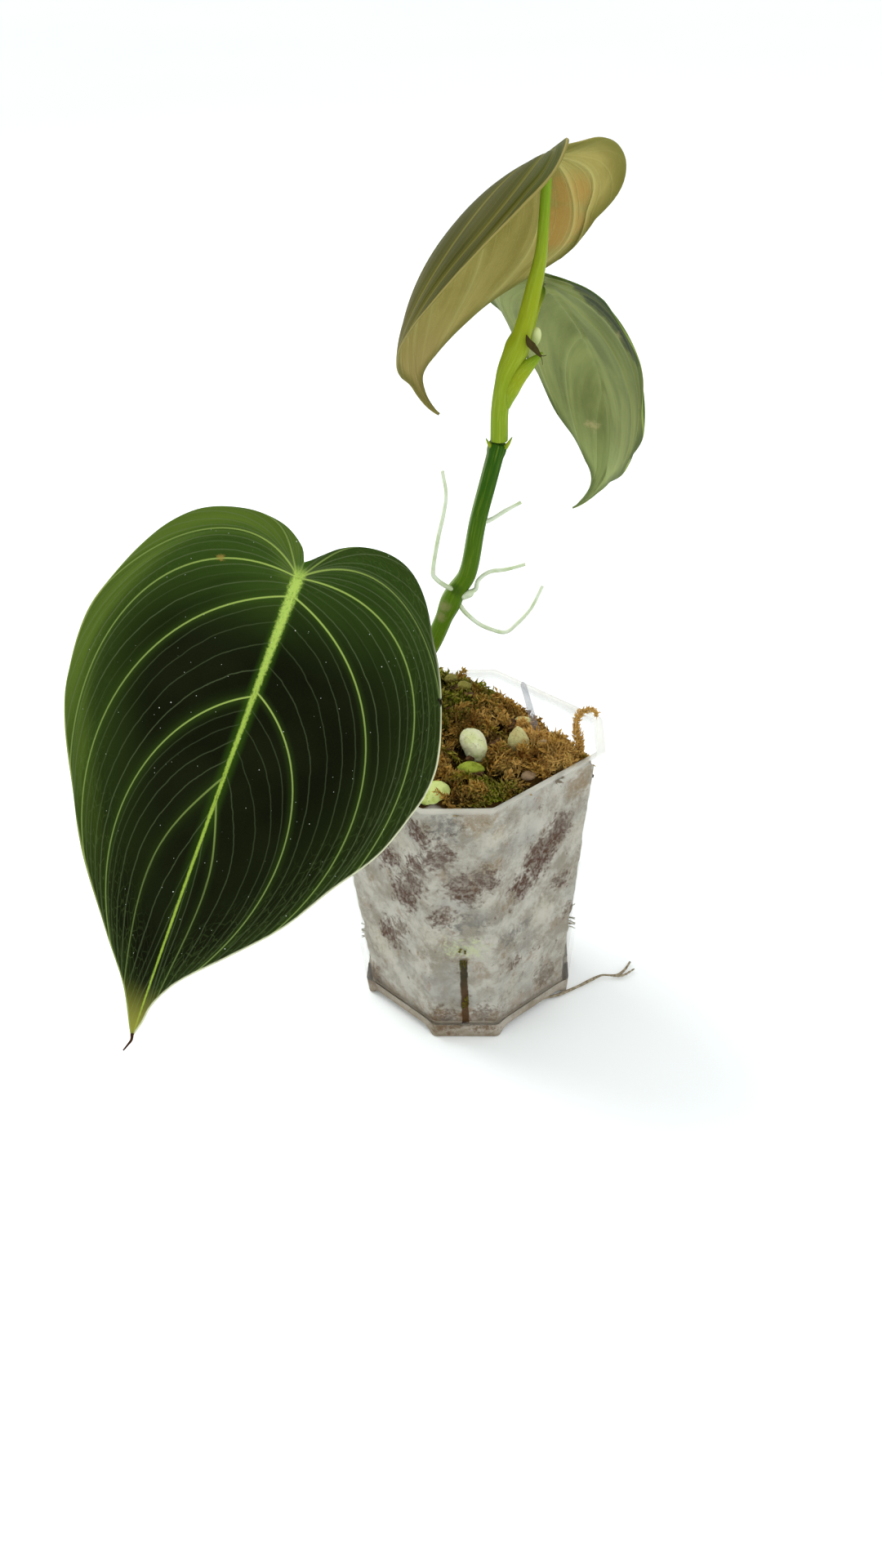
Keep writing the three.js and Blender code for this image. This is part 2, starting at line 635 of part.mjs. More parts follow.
// The blade's middle surface at a flat place of one half: side is 1 for the right half and -1 for the left
function surfacePoint(leaf, stops, side, x, y) {
  const half = side > 0 ? leaf.right : leaf.left;
  const { at, turn } = midribAt(leaf, stops, y);
  const outward = x / HALF_WIDTH;
  const first = half.fold + leaf.foldAtTip * Math.min(Math.max(y, 0), 1);
  const slopes = SIMPSON.map((weight, k) => {
    const u = (outward * k) / (SIMPSON.length - 1);
    return (first + half.arch * u + half.rim * u ** 4) * RADIANS;
  });
  const reach = x * leaf.width * leaf.length;
  const across = SIMPSON.reduce((sum, weight, k) => sum + weight * Math.cos(slopes[k]), 0);
  const drop = SIMPSON.reduce((sum, weight, k) => sum + weight * Math.sin(slopes[k]), 0);
  return new THREE.Vector3(side * reach * across, 0, -reach * drop).applyQuaternion(turn).add(at);
}

function surfaceNormal(leaf, stops, side, x, y) {
  if (x < 1e-6) {
    return point([0, 0, 1]).applyQuaternion(midribAt(leaf, stops, y).turn);
  }
  const step = 0.004;
  const inner = surfacePoint(leaf, stops, side, Math.max(x - step, 0), y);
  const out = surfacePoint(leaf, stops, side, x + step, y).sub(inner);
  const on = surfacePoint(leaf, stops, side, x, y + step).sub(surfacePoint(leaf, stops, side, x, y - step));
  return out.cross(on).multiplyScalar(side).normalize();
}

function bladeRows() {
  const rows = [];
  for (let i = 0; i < MAIN_VEINS.length - 1; i += 1) {
    const [low, high] = [MAIN_VEINS[i], MAIN_VEINS[i + 1]];
    const count = BLADE.rowsBetweenVeins[i];
    for (let k = 0; k < count; k += 1) {
      const phase = k / count;
      const bulge = Math.sin(Math.PI * phase) ** 2 * Math.min(1, (high - low) / 0.15);
      rows.push({ place: low + (high - low) * phase, bulge });
    }
  }
  rows.push({ place: 1, bulge: 0 });
  return rows;
}

function makeBlade(leaf) {
  const stops = bendMidrib(leaf);
  const turn = new THREE.Euler(leaf.pitch * RADIANS, leaf.roll * RADIANS, leaf.yaw * RADIANS, 'ZXY');
  const stand = new THREE.Matrix4().makeRotationFromEuler(turn).setPosition(...leaf.junction);
  const rows = bladeRows();
  const columns = BLADE.columns;
  const points = [];
  const index = [];
  for (const side of [1, -1]) {
    const margin = marginOf((side > 0 ? leaf.right : leaf.left).outline);
    const first = points.length;
    const at = (row, column, face) => first + 2 * (row * columns.length + column) + face;
    for (const row of rows) {
      for (const along of columns) {
        const flat = row.place === 1 ? new THREE.Vector2(0, 1) : flatPlace(margin, row.place, along);
        const middle = surfacePoint(leaf, stops, side, flat.x, flat.y);
        const normal = surfaceNormal(leaf, stops, side, flat.x, flat.y);
        const sway = Math.sin(11 * Math.PI * row.place + side) * Math.sin(Math.PI * row.place);
        const wave = leaf.wave * sway * along ** 4;
        const lift = BLADE.quilt * row.bulge * 4 * along * (1 - along) + wave;
        const ridge = along === 0 ? BLADE.midribHeight * (1 - 0.8 * flat.y) : 0;
        middle.addScaledVector(normal, lift);
        points.push(middle.clone().addScaledVector(normal, BLADE.thickness / 2).applyMatrix4(stand));
        points.push(middle.clone().addScaledVector(normal, -BLADE.thickness / 2 - ridge).applyMatrix4(stand));
      }
    }
    const add = (a, b, c) => index.push(...(side > 0 ? [a, b, c] : [a, c, b]));
    for (let i = 0; i < rows.length - 1; i += 1) {
      for (let j = 0; j < columns.length - 1; j += 1) {
        add(at(i, j, 0), at(i, j + 1, 0), at(i + 1, j + 1, 0));
        add(at(i, j, 0), at(i + 1, j + 1, 0), at(i + 1, j, 0));
        add(at(i, j, 1), at(i + 1, j + 1, 1), at(i, j + 1, 1));
        add(at(i, j, 1), at(i + 1, j, 1), at(i + 1, j + 1, 1));
      }
      const rim = columns.length - 1;
      add(at(i, rim, 1), at(i + 1, rim, 1), at(i + 1, rim, 0));
      add(at(i, rim, 1), at(i + 1, rim, 0), at(i, rim, 0));
    }
  }
  return closedMesh(points.flatMap((p) => p.toArray()), index);
}

// Small pieces

const FLOOR_ROOT = {
  main: [
    [9, -9, 14], [9, -9, 6.5], [9.3, -9.2, 3.6], [10.6, -9.9, 1.7], [12.6, -10.9, 1.05], [16, -12.2, 1],
    [20.5, -13, 0.95], [25, -12, 0.9], [28.6, -10, 0.9], [32.2, -7.6, 0.9], [35.9, -4.8, 0.9],
    [39, -2.9, 0.9], [43, -2.8, 0.8], [45.4, -0.6, 0.8], [47.4, 3.4, 0.7],
  ],
  fork: [[42, -3, 0.8], [45, -2.8, 0.8], [48.4, 0.2, 0.7]],
};

function makeFloorRoot(route, grow) {
  const main = solid(tube(route, (t) => 0.72 - 0.3 * t + grow, 30, 6));
  const fork = solid(tube(FLOOR_ROOT.fork, (t) => 0.42 - 0.1 * t, 4, 5));
  return main.add(fork);
}

const DRIED_TIP = [[20.9, 3.4, 178.4], [19.6, 3.2, 180], [18.2, 3.1, 181.8], [17.5, 3, 183.6]];
const BUD = { at: [19.6, 7.9, 181.7], size: [1.35, 1.35, 2.3], lean: 14 };
const SLIVER = { foot: [20.6, 0.4, 77.6], top: [16.3, 0.4, 95.4], width: 2, thickness: 0.7 };

function makeSliver(grow) {
  const [foot, top] = [point(SLIVER.foot), point(SLIVER.top)];
  const length = foot.distanceTo(top) + 2 * grow;
  const lean = Math.atan2(top.x - foot.x, top.z - foot.z);
  const middle = foot.clone().add(top).multiplyScalar(0.5);
  return new THREE.BoxGeometry(SLIVER.width + 2 * grow, SLIVER.thickness + 2 * grow, length, 1, 1, 3)
    .rotateY(lean)
    .translate(middle.x, middle.y, middle.z);
}

// Moss that shows in the corner slots of the pot
const SLOT_TUFTS = [
  { corner: 0, at: 20, reach: 2.6 },
  { corner: 0, at: 23.5, reach: 1.6 },
  { corner: 180, at: 18, reach: 2.2 },
  { corner: -90, at: 21, reach: -0.4 },
];

function slotTuft({ corner, at, reach }) {
  const wall = (potHalf(at) - POT.cornerCut / 2) * Math.SQRT2;
  const lump = new THREE.IcosahedronGeometry(1, 1).scale(3.4, 1.1, 1.9).translate(wall + reach - 3.4, 0, at);
  return shapeSolid(lump, placed(0, 0, 0, corner));
}

// Build all nodes

// The route of a buried piece, made longer at its buried end by the clearance
function deeper(points) {
  const [first, second] = points.map(point);
  return [first.clone().sub(second).setLength(GAP).add(first).toArray(), ...points];
}

function grown(points, knots, steps, sides) {
  return solid(tube(deeper(points), (t) => mix(knots, t) + GAP, steps, sides));
}

addNode('pot', geometryOf(makePot()), 0xd9dedc, 0.35, { transparent: true, opacity: 0.75 });

const mossHoles = [
  grown(STEM.lower, LOWER_RADIUS, 22, 10),
  grown(STEM.frontPetiole, FRONT_PETIOLE_RADIUS, 14, 8),
  makeFloorRoot(deeper(FLOOR_ROOT.main), GAP),
  shapeSolid(makeSliver(GAP)),
  ...LUMPS.map((lump, i) => shapeSolid(lumpGeometry(lump, i, GAP))),
];
addNode('moss', geometryOf(makeMoss(mossHoles)), 0x8a6f3c, 1);

LUMPS.forEach((lump, i) => {
  addNode(`lump_${i + 1}`, geometryOf(shapeSolid(lumpGeometry(lump, i, 0))), lump.colour, 0.95);
});

addNode('lower_stem', geometryOf(makeLowerStem()), 0x35581c, 0.5);
addNode('upper_stem', geometryOf(makeUpperStem()), 0x9db52e, 0.45);
const frontPetiole = solid(tube(STEM.frontPetiole, (t) => mix(FRONT_PETIOLE_RADIUS, t), 20, 8));
addNode('front_petiole', geometryOf(frontPetiole), 0x4f6f25, 0.5);
for (const [name, leaf] of Object.entries(LEAVES)) {
  addNode(name, makeBlade(leaf), leaf.colour, 0.8);
}

addNode('dried_tip', tube(DRIED_TIP, (t) => 0.75 - 0.45 * t, 6, 6), 0x6f5230, 0.9);
const budShape = new THREE.IcosahedronGeometry(1, 1).scale(...BUD.size);
budShape.rotateY(BUD.lean * RADIANS).translate(...BUD.at);
addNode('bud', geometryOf(shapeSolid(budShape)), 0xc3cf7a, 0.5);
addNode('floor_root', geometryOf(makeFloorRoot(FLOOR_ROOT.main, 0)), 0x8b7a5c, 0.8);
addNode('sliver', geometryOf(shapeSolid(makeSliver(0))), 0xd8d6c8, 0.4, { transparent: true, opacity: 0.7 });

export default plant;
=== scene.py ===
# Looks for a young climbing philodendron in a clear square pot: velvety leaves with their veins, the stem
# and aerial roots, the frosted pot, and moss with pumice and bark. All lengths are in millimetres.
import math

import bmesh
import bpy
import numpy as np
from mathutils import Matrix, Vector
from mathutils.geometry import tessellate_polygon


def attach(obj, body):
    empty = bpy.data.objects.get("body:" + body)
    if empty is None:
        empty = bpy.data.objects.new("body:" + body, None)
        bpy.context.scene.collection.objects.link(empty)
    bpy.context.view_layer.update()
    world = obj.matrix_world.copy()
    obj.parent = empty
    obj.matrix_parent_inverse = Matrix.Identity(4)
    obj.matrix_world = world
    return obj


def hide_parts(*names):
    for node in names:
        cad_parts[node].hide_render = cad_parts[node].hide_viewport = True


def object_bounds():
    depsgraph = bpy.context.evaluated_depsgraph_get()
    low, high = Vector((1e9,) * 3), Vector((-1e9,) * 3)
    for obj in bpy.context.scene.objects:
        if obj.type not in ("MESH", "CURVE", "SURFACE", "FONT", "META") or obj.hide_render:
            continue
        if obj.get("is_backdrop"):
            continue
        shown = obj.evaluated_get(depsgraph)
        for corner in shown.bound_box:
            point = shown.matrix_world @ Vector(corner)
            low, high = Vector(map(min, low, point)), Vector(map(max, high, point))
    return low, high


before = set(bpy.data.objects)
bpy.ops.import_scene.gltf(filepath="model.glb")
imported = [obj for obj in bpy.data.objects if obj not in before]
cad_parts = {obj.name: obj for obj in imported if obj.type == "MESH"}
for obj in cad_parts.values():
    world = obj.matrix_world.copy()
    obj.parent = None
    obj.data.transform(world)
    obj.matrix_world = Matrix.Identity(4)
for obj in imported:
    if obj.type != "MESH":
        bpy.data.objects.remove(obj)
CAD_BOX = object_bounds()
MM = 0.001


# Colours and node graphs

def rgb(red, green, blue):
    """A colour given as it looks on a screen, 0 to 255, as the linear colour that a shader needs."""
    parts = [part / 255 for part in (red, green, blue)]
    linear = [part / 12.92 if part <= 0.04045 else ((part + 0.055) / 1.055) ** 2.4 for part in parts]
    return (*linear, 1.0)


class Value:
    """What a node gives out. The sum, difference or product of two values is a new node."""

    def __init__(self, graph, socket):
        self.graph = graph
        self.socket = socket

    def __mul__(self, other):
        return self.graph.math("MULTIPLY", self, other)

    def __add__(self, other):
        return self.graph.math("ADD", self, other)

    def __sub__(self, other):
        return self.graph.math("SUBTRACT", self, other)

    def __abs__(self):
        return self.graph.math("ABSOLUTE", self)

    def __round__(self):
        return self.graph.math("ROUND", self)


class Graph:
    """One material's node graph. Colours are screen values from 0 to 255, or come from other nodes."""

    def __init__(self, name):
        self.material = bpy.data.materials.new(name)
        self.material.use_nodes = True
        self.tree = self.material.node_tree
        self.shader = self.tree.nodes["Principled BSDF"].inputs
        self.coordinates = None

    def put(self, socket, value):
        if isinstance(value, Value):
            self.tree.links.new(value.socket, socket)
        else:
            socket.default_value = value

    def add(self, kind, inputs, **settings):
        made = self.tree.nodes.new(kind)
        for key, value in settings.items():
            setattr(made, key, value)
        for key, value in inputs.items():
            self.put(made.inputs[key], value)
        return made

    def node(self, kind, output, inputs, **settings):
        """One output, by name or number, of a new node."""
        return Value(self, self.add(kind, inputs, **settings).outputs[output])

    def math(self, operation, *values):
        return self.node("ShaderNodeMath", 0, dict(enumerate(values)), operation=operation)

    def vector(self, *parts):
        return self.node("ShaderNodeCombineXYZ", 0, dict(enumerate(parts)))

    def value(self, name):
        """A value that the mesh carries at its corners."""
        return self.node("ShaderNodeAttribute", "Fac", {}, attribute_name=name)

    def place(self):
        """The object's own coordinates in millimetres."""
        if self.coordinates is None:
            source = self.node("ShaderNodeTexCoord", "Object", {})
            inputs = {0: source, "Scale": 1000.0}
            self.coordinates = self.node("ShaderNodeVectorMath", 0, inputs, operation="SCALE")
        return self.coordinates

    def stretched(self, x, y, z):
        """The same coordinates, each multiplied by its own number."""
        return self.node("ShaderNodeVectorMath", 0, {0: self.place(), 1: (x, y, z)}, operation="MULTIPLY")

    def smooth(self, value, low, high):
        """0 where the value is low, 1 where it is high, with a soft step between; low may be above high."""
        inputs = {"Value": value, "From Min": low, "From Max": high}
        return self.node("ShaderNodeMapRange", 0, inputs, interpolation_type="SMOOTHSTEP")

    def noise(self, scale, detail, roughness=0.5, vector=None):
        inputs = {"Vector": vector or self.place(), "Scale": scale, "Detail": detail, "Roughness": roughness}
        return self.node("ShaderNodeTexNoise", "Fac", inputs)

    def around_zero(self, scale, size, detail=4.0, roughness=0.65):
        """Noise of about minus to plus size millimetres."""
        return (self.noise(scale, detail, roughness) - 0.5) * (size * 4.0)

    def cells(self, scale, *outputs, vector=None, feature="F1"):
        """The named outputs of a texture of scattered cells."""
        inputs = {"Vector": vector or self.place(), "Scale": scale}
        made = self.add("ShaderNodeTexVoronoi", inputs, feature=feature)
        return [Value(self, made.outputs[output]) for output in outputs]

    def near(self, spots, ragged, reach):
        """1 at places near any of the (place, spread) spots in millimetres, with a ragged edge."""
        total = 0.0
        for place, spread in spots:
            inputs = {0: self.place(), 1: place}
            away = self.node("ShaderNodeVectorMath", "Value", inputs, operation="DISTANCE")
            spot = self.smooth(away + ragged, spread + reach, spread - reach)
            total = self.math("MAXIMUM", spot, total)
        return total

    def mix(self, factor, low, high):
        """The low colour where the factor is 0, the high one where it is 1."""
        low, high = (rgb(*colour) if isinstance(colour, tuple) else colour for colour in (low, high))
        return self.node("ShaderNodeMix", 2, {"Factor": factor, 6: low, 7: high}, data_type="RGBA")

    def over(self, colour, *layers):
        """A colour with others laid over it in turn, each by its own amount from 0 to 1."""
        for amount, above in layers:
            colour = self.mix(amount, colour, above)
        return colour

    def bump(self, height, distance):
        """Relief of a height of 0 to 1 that stands for a distance in millimetres."""
        return self.node("ShaderNodeBump", 0, {"Height": height, "Distance": distance * MM, "Strength": 1.0})

    def finish(self, colour, roughness, normal=None, shine=0.5, soft=None):
        """Fills the shader. Soft is how much light goes under the surface, and how far in millimetres."""
        self.put(self.shader["Base Color"], colour)
        self.put(self.shader["Roughness"], roughness)
        self.put(self.shader["Specular IOR Level"], shine)
        if normal is not None:
            self.put(self.shader["Normal"], normal)
        if soft is not None:
            self.put(self.shader["Subsurface Weight"], soft[0])
            self.put(self.shader["Subsurface Radius"], [part * MM for part in soft[1]])
            self.put(self.shader["Subsurface Scale"], 1.0)
        return self.material


# Meshes: each is points in millimetres, faces, and named values for each point

WELD_STEPS = 2e4


def make_object(name, mesh, materials, slots=None, smooth=True):
    """An object from a mesh. Points that meet are welded, but each face keeps its own points' values."""
    points, faces, values = mesh
    points = np.asarray(points, float)
    keys = np.round(points * WELD_STEPS).astype(np.int64)
    first, same = np.unique(keys, axis=0, return_index=True, return_inverse=True)[1:]
    same = same.reshape(-1)
    kept_faces, kept_slots, sources = [], [], []
    for number, face in enumerate(faces):
        corners = {}
        for point in face:
            corners.setdefault(int(same[point]), int(point))
        if len(corners) >= 3:
            kept_faces.append(list(corners))
            kept_slots.append(slots[number] if slots else 0)
            sources.extend(corners.values())
    data = bpy.data.meshes.new(name)
    data.from_pydata((points[first] * MM).tolist(), [], kept_faces)
    for material in materials:
        data.materials.append(material)
    data.polygons.foreach_set("material_index", kept_slots)
    data.polygons.foreach_set("use_smooth", [smooth] * len(kept_faces))
    for key, array in values.items():
        attribute = data.attributes.new(key, "FLOAT", "CORNER")
        attribute.data.foreach_set("value", np.asarray(array, np.float32)[sources])
    data.update()
    made = bpy.data.objects.new(name, data)
    bpy.context.scene.collection.objects.link(made)
    return made


def piece(made, slot, *nodes):
    """Every visible piece rides on the one body and stands for the nodes it replaces. The slot is not used.
    """
    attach(made, "root")
    if nodes:
        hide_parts(*nodes)


def turned(axis, angle):
    return np.array(Matrix.Rotation(angle, 3, axis))


def circle(count):
    """Flat directions all round, as rows of x and y."""
    angle = np.linspace(0, 2 * np.pi, count, endpoint=False)
    return np.column_stack([np.cos(angle), np.sin(angle)])


def neighbours(around):
    """Each number of a closed ring with the next one."""
    return [(k, (k + 1) % around) for k in range(around)]


def quad(low, high, k, n):
    """The face between points k and n of two rings that start at low and at high."""
    return [low + k, low + n, high + n, high + k]


def ring_faces(levels, around):
    """The faces between rings of points that follow one another."""
    return [quad(i * around, (i + 1) * around, k, n)
            for i in range(levels - 1) for k, n in neighbours(around)]


def catmull_rom(points, count):
    """A smooth curve through points, evenly spaced by length."""
    points = np.asarray(points, float)
    ends = np.vstack([2 * points[0] - points[1], points, 2 * points[-1] - points[-2]])
    places = np.linspace(0, len(points) - 1, 40 * len(points))
    span = np.clip(places.astype(int), 0, len(points) - 2)
    t = (places - span)[:, None]
    p0, p1, p2, p3 = (ends[span + k] for k in range(4))
    curve = 0.5 * (2 * p1 + (p2 - p0) * t + (2 * p0 - 5 * p1 + 4 * p2 - p3) * t ** 2
                   + (3 * p1 - p0 - 3 * p2 + p3) * t ** 3)
    length = np.concatenate([[0], np.cumsum(np.linalg.norm(np.diff(curve, axis=0), axis=1))])
    even = np.linspace(0, length[-1], count)
    return np.stack([np.interp(even, length, curve[:, k]) for k in range(3)], 1)


def frames_along(path):
    """Two directions across a path at each of its points, carried along without twist."""
    forward = np.gradient(path, axis=0)
    forward /= np.linalg.norm(forward, axis=1, keepdims=True)
    side = np.cross(forward[0], [0.3, 0.9, 0.2])
    side /= np.linalg.norm(side)
    sides = []
    for step in forward:
        side = side - step * side.dot(step)
        side /= np.linalg.norm(side)
        sides.append(side)
    sides = np.array(sides)
    return sides, np.cross(forward, sides)


def tube_mesh(route, radius, steps, around, shape=None):
    """A closed round tube. radius maps 0 to 1 along it to millimetres; shape may change it by the place along
    and the angle around."""
    path = catmull_rom(route, steps)
    side, up = frames_along(path)
    along = np.linspace(0, 1, steps)
    angle = np.linspace(0, 2 * np.pi, around, endpoint=False)
    size = np.broadcast_to(np.asarray(radius(along))[:, None], (steps, around)).copy()
    if shape is not None:
        size = size * shape(along[:, None], angle[None, :])
    aside = np.cos(angle)[None, :, None] * side[:, None] + np.sin(angle)[None, :, None] * up[:, None]
    rings = path[:, None] + size[..., None] * aside
    points = np.vstack([rings.reshape(-1, 3), path[:1], path[-1:]])
    faces = ring_faces(steps, around)
    start, end = len(points) - 2, len(points) - 1
    last = (steps - 1) * around
    for k, n in neighbours(around):
        faces.append([start, n, k])
        faces.append([end, last + k, last + n])
    values = {
        "along": np.append(np.repeat(along, around), [0, 1]),
        "across": np.append(np.tile(np.cos(angle), steps), [0, 0]),
        "toward": np.append(np.tile(np.sin(angle), steps), [0, 0]),
    }
    return points, faces, values


def join_parts(parts):
    """Several meshes as one."""
    faces, offset = [], 0
    for points, part_faces, values in parts:
        faces += [[corner + offset for corner in face] for face in part_faces]
        offset += len(points)
    joined = {key: np.concatenate([part[2][key] for part in parts]) for key in parts[0][2]}
    return np.vstack([part[0] for part in parts]), faces, joined


def tapered(start, change):
    """A radius that changes evenly from the start of a tube to its end."""
    return lambda t: start + change * t


def hermite(places, values, t):
    """A smooth curve through values at places, with no overshoot between them."""
    x, y = np.asarray(places, float), np.asarray(values, float)
    rise = np.diff(y) / np.diff(x)
    slope = np.zeros(len(x))
    slope[0], slope[-1] = rise[0], rise[-1]
    product = rise[:-1] * rise[1:]
    total = rise[:-1] + rise[1:]
    slope[1:-1] = np.where(product > 0, 2 * product / np.where(product > 0, total, 1), 0)
    t = np.clip(t, x[0], x[-1])
    i = np.clip(np.searchsorted(x, t, side="right") - 1, 0, len(x) - 2)
    span = x[i + 1] - x[i]
    u = (t - x[i]) / span
    return ((2 * u ** 3 - 3 * u ** 2 + 1) * y[i] + (u ** 3 - 2 * u ** 2 + u) * span * slope[i]
            + (3 * u ** 2 - 2 * u ** 3) * y[i + 1] + (u ** 3 - u ** 2) * span * slope[i + 1])


def knots(*pairs):
    """A smooth radius along a tube from (place, radius) pairs."""
    places, values = zip(*pairs)
    return lambda t: hermite(places, values, t)


# Leaf outline and veins

HALF_OUTLINE = [
    (0, -0.036), (0.02, -0.06), (0.06, -0.092), (0.11, -0.107), (0.16, -0.107), (0.21, -0.09),
    (0.25, -0.055), (0.3, 0.01), (0.335, 0.066), (0.362, 0.127), (0.383, 0.195), (0.393, 0.27),
    (0.387, 0.34), (0.362, 0.42), (0.295, 0.55), (0.22, 0.674), (0.135, 0.772), (0.07, 0.85),
    (0.036, 0.9), (0.021, 0.94), (0.011, 0.975), (0, 1),
]
HALF_WIDTH = 0.394
DRIP_TIP = HALF_OUTLINE[13:15] + [
    (0.215, 0.67), (0.15, 0.752), (0.095, 0.808), (0.05, 0.848), (0.026, 0.88), (0.018, 0.92),
    (0.01, 0.965), (0, 1),
]
FAR_HALF_OUTLINE = [
    (0, -0.036), (0.02, -0.068), (0.063, -0.102), (0.107, -0.111), (0.152, -0.106), (0.198, -0.089),
    (0.24, -0.056), (0.284, 0.011), (0.312, 0.067), (0.336, 0.125), (0.357, 0.187), (0.373, 0.259),
    (0.381, 0.335),
] + DRIP_TIP
ROUND_LOBE_OUTLINE = [
    (0, -0.036), (0.02, -0.058), (0.06, -0.083), (0.11, -0.094), (0.16, -0.09), (0.21, -0.071),
    (0.25, -0.042),
] + HALF_OUTLINE[7:13] + DRIP_TIP
FRONT_OUTLINE_A = [
    (0, -0.036), (0.016, -0.066), (0.06, -0.095), (0.115, -0.105), (0.165, -0.1), (0.219, -0.081),
    (0.26, -0.052), (0.302, -0.003), (0.339, 0.062), (0.365, 0.132), (0.384, 0.199), (0.389, 0.27),
    (0.382, 0.336), (0.365, 0.399), (0.303, 0.531), (0.221, 0.674), (0.127, 0.803), (0.054, 0.897),
    (0.011, 0.985), (0, 1),
]
FRONT_OUTLINE_B = [
    (0, -0.036), (0.013, -0.046), (0.029, -0.062), (0.062, -0.09), (0.107, -0.108), (0.157, -0.113),
    (0.2, -0.102), (0.235, -0.076), (0.267, -0.036), (0.3, 0.021), (0.331, 0.07), (0.356, 0.121),
    (0.378, 0.182), (0.391, 0.229), (0.398, 0.269), (0.397, 0.313), (0.388, 0.359), (0.35, 0.467),
    (0.283, 0.569), (0.218, 0.674), (0.138, 0.763), (0.063, 0.842), (0.035, 0.882), (0.017, 0.923),
    (0.011, 0.96), (0, 1),
]
VEIN_PLACES = [0, 0.1, 0.4, 0.63, 0.77, 0.89, 0.965, 1]
VEIN_START = [0, 0, 0, 0, 0.04, 0.285, 0.615, 1]
VEIN_START_HEADING = [180, 146, 133, 99, 71, 62, 5, 8]
VEIN_START_HANDLE = [0.34, 0.44, 0.52, 0.46, 0.42, 0.3, 0.42, 0.33]
VEIN_END_HEADING = [180, 94, 14, -20, -33, -32, 3, -3]
VEIN_END_HANDLE = [0.33, 0.41, 0.35, 0.5, 0.42, 0.52, 0.61, 0.33]
MAIN_VEINS = [0, 0.1, 0.385, 0.62, 0.767, 0.878, 0.937, 1]

LEAVES = {
    "front_leaf": {
        "junction": (-29.8, -61.3, 152.6), "yaw": 150.6, "pitch": -46.3, "roll": -29.6,
        "length": 100.7, "width": 1, "droop": 14.9, "curl": 5.7, "sway": 0, "twist": -2, "back": 14.3,
        "back_ease": 1, "fold_at_tip": 3.4, "wave": 0.4,
        1: {"outline": FRONT_OUTLINE_A, "fold": 0.4, "arch": 9.2, "rim": 6.9,
            "veins": [0, 0.1, 0.378, 0.628, 0.77, 0.88, 0.93, 1]},
        -1: {"outline": FRONT_OUTLINE_B, "fold": -3.2, "arch": 9.2, "rim": 6.9,
             "veins": [0, 0.104, 0.395, 0.619, 0.764, 0.876, 0.94, 1]},
    },
    "top_leaf": {
        "junction": (22, 2.9, 222.1), "yaw": 69.3, "pitch": -23.7, "roll": 9,
        "length": 80.7, "width": 0.965, "droop": 72, "curl": 39.8, "sway": 21.4, "twist": 15.7, "back": -104,
        "back_ease": 1.6, "fold_at_tip": -12.5, "wave": 0,
        1: {"outline": FAR_HALF_OUTLINE, "fold": 37.2, "arch": 26.6, "rim": -49.5, "veins": MAIN_VEINS},
        -1: {"outline": ROUND_LOBE_OUTLINE, "fold": 7.9, "arch": 57.5, "rim": -31, "veins": MAIN_VEINS},
    },
    "back_leaf": {
        "junction": (22.4, 39.5, 187.1), "yaw": -44.1, "pitch": -39.1, "roll": -3.8,
        "length": 94, "width": 0.771, "droop": 46, "curl": 66.8, "sway": -19.3, "twist": -32.5, "back": 20,
        "back_ease": 1, "fold_at_tip": 25.5, "wave": 0.6,
        1: {"outline": HALF_OUTLINE, "fold": 16.2, "arch": -23.5, "rim": 43.3, "veins": MAIN_VEINS},
        -1: {"outline": HALF_OUTLINE, "fold": 15.2, "arch": -21.3, "rim": -21.8, "veins": MAIN_VEINS},
    },
}

MIDRIB_STEPS = 60
CURL_FROM = 0.82
LOBE_REACH = 0.2
SUM_WEIGHTS = np.array([1, 4, 2, 4, 2, 4, 2, 4, 1]) / 24
ROWS_BETWEEN_VEINS = [16, 40, 34, 26, 22, 14, 18]
COLUMNS = 44
MARGIN_POINTS = 900
EDGE_POINTS = 300
BLADE = {"thickness": 0.52, "quilt": 0.45, "quilted_from": 0.15, "midrib_height": 1.1, "midrib_reach": 0.95,
         "midrib_fade": 0.8, "channel": 0.25, "channel_reach": 1.1, "groove": 0.16, "groove_reach": 0.45,
         "vein_height": 0.32, "vein_reach": 0.45, "vein_fade": 0.7, "ripple": 0.035, "ripples": 4,
         "rippled_from": 6, "waves": 5.5, "edge": 0.035, "crease": 0.012}


def margin_curve(outline, count):
    """The smoothed margin of a half leaf as flat points."""
    return catmull_rom([(x, y, 0) for x, y in outline], count)[:, :2]


def flat_grid(outline, places, along):
    """Flat places of points part of the way along the veins that end at places on the margin."""
    curve = margin_curve(outline, MARGIN_POINTS)
    share = np.linspace(0, 1, MARGIN_POINTS)
    end = np.stack([np.interp(places, share, curve[:, k]) for k in range(2)], 1)
    start = np.stack([0 * places, hermite(VEIN_PLACES, VEIN_START, places)], 1)
    chord = np.linalg.norm(end - start, axis=1)[:, None]

    def handle(headings, handles):
        angle = np.radians(hermite(VEIN_PLACES, headings, places))
        size = hermite(VEIN_PLACES, handles, places)[:, None] * chord
        return size * np.stack([np.sin(angle), np.cos(angle)], 1)

    leave = start + handle(VEIN_START_HEADING, VEIN_START_HANDLE)
    arrive = end - handle(VEIN_END_HEADING, VEIN_END_HANDLE)
    t = along[None, :, None]
    grid = ((1 - t) ** 3 * start[:, None] + 3 * (1 - t) ** 2 * t * leave[:, None]
            + 3 * (1 - t) * t ** 2 * arrive[:, None] + t ** 3 * end[:, None])
    grid[0, :, 0] = 0
    grid[-1] = (0, 1)
    return grid


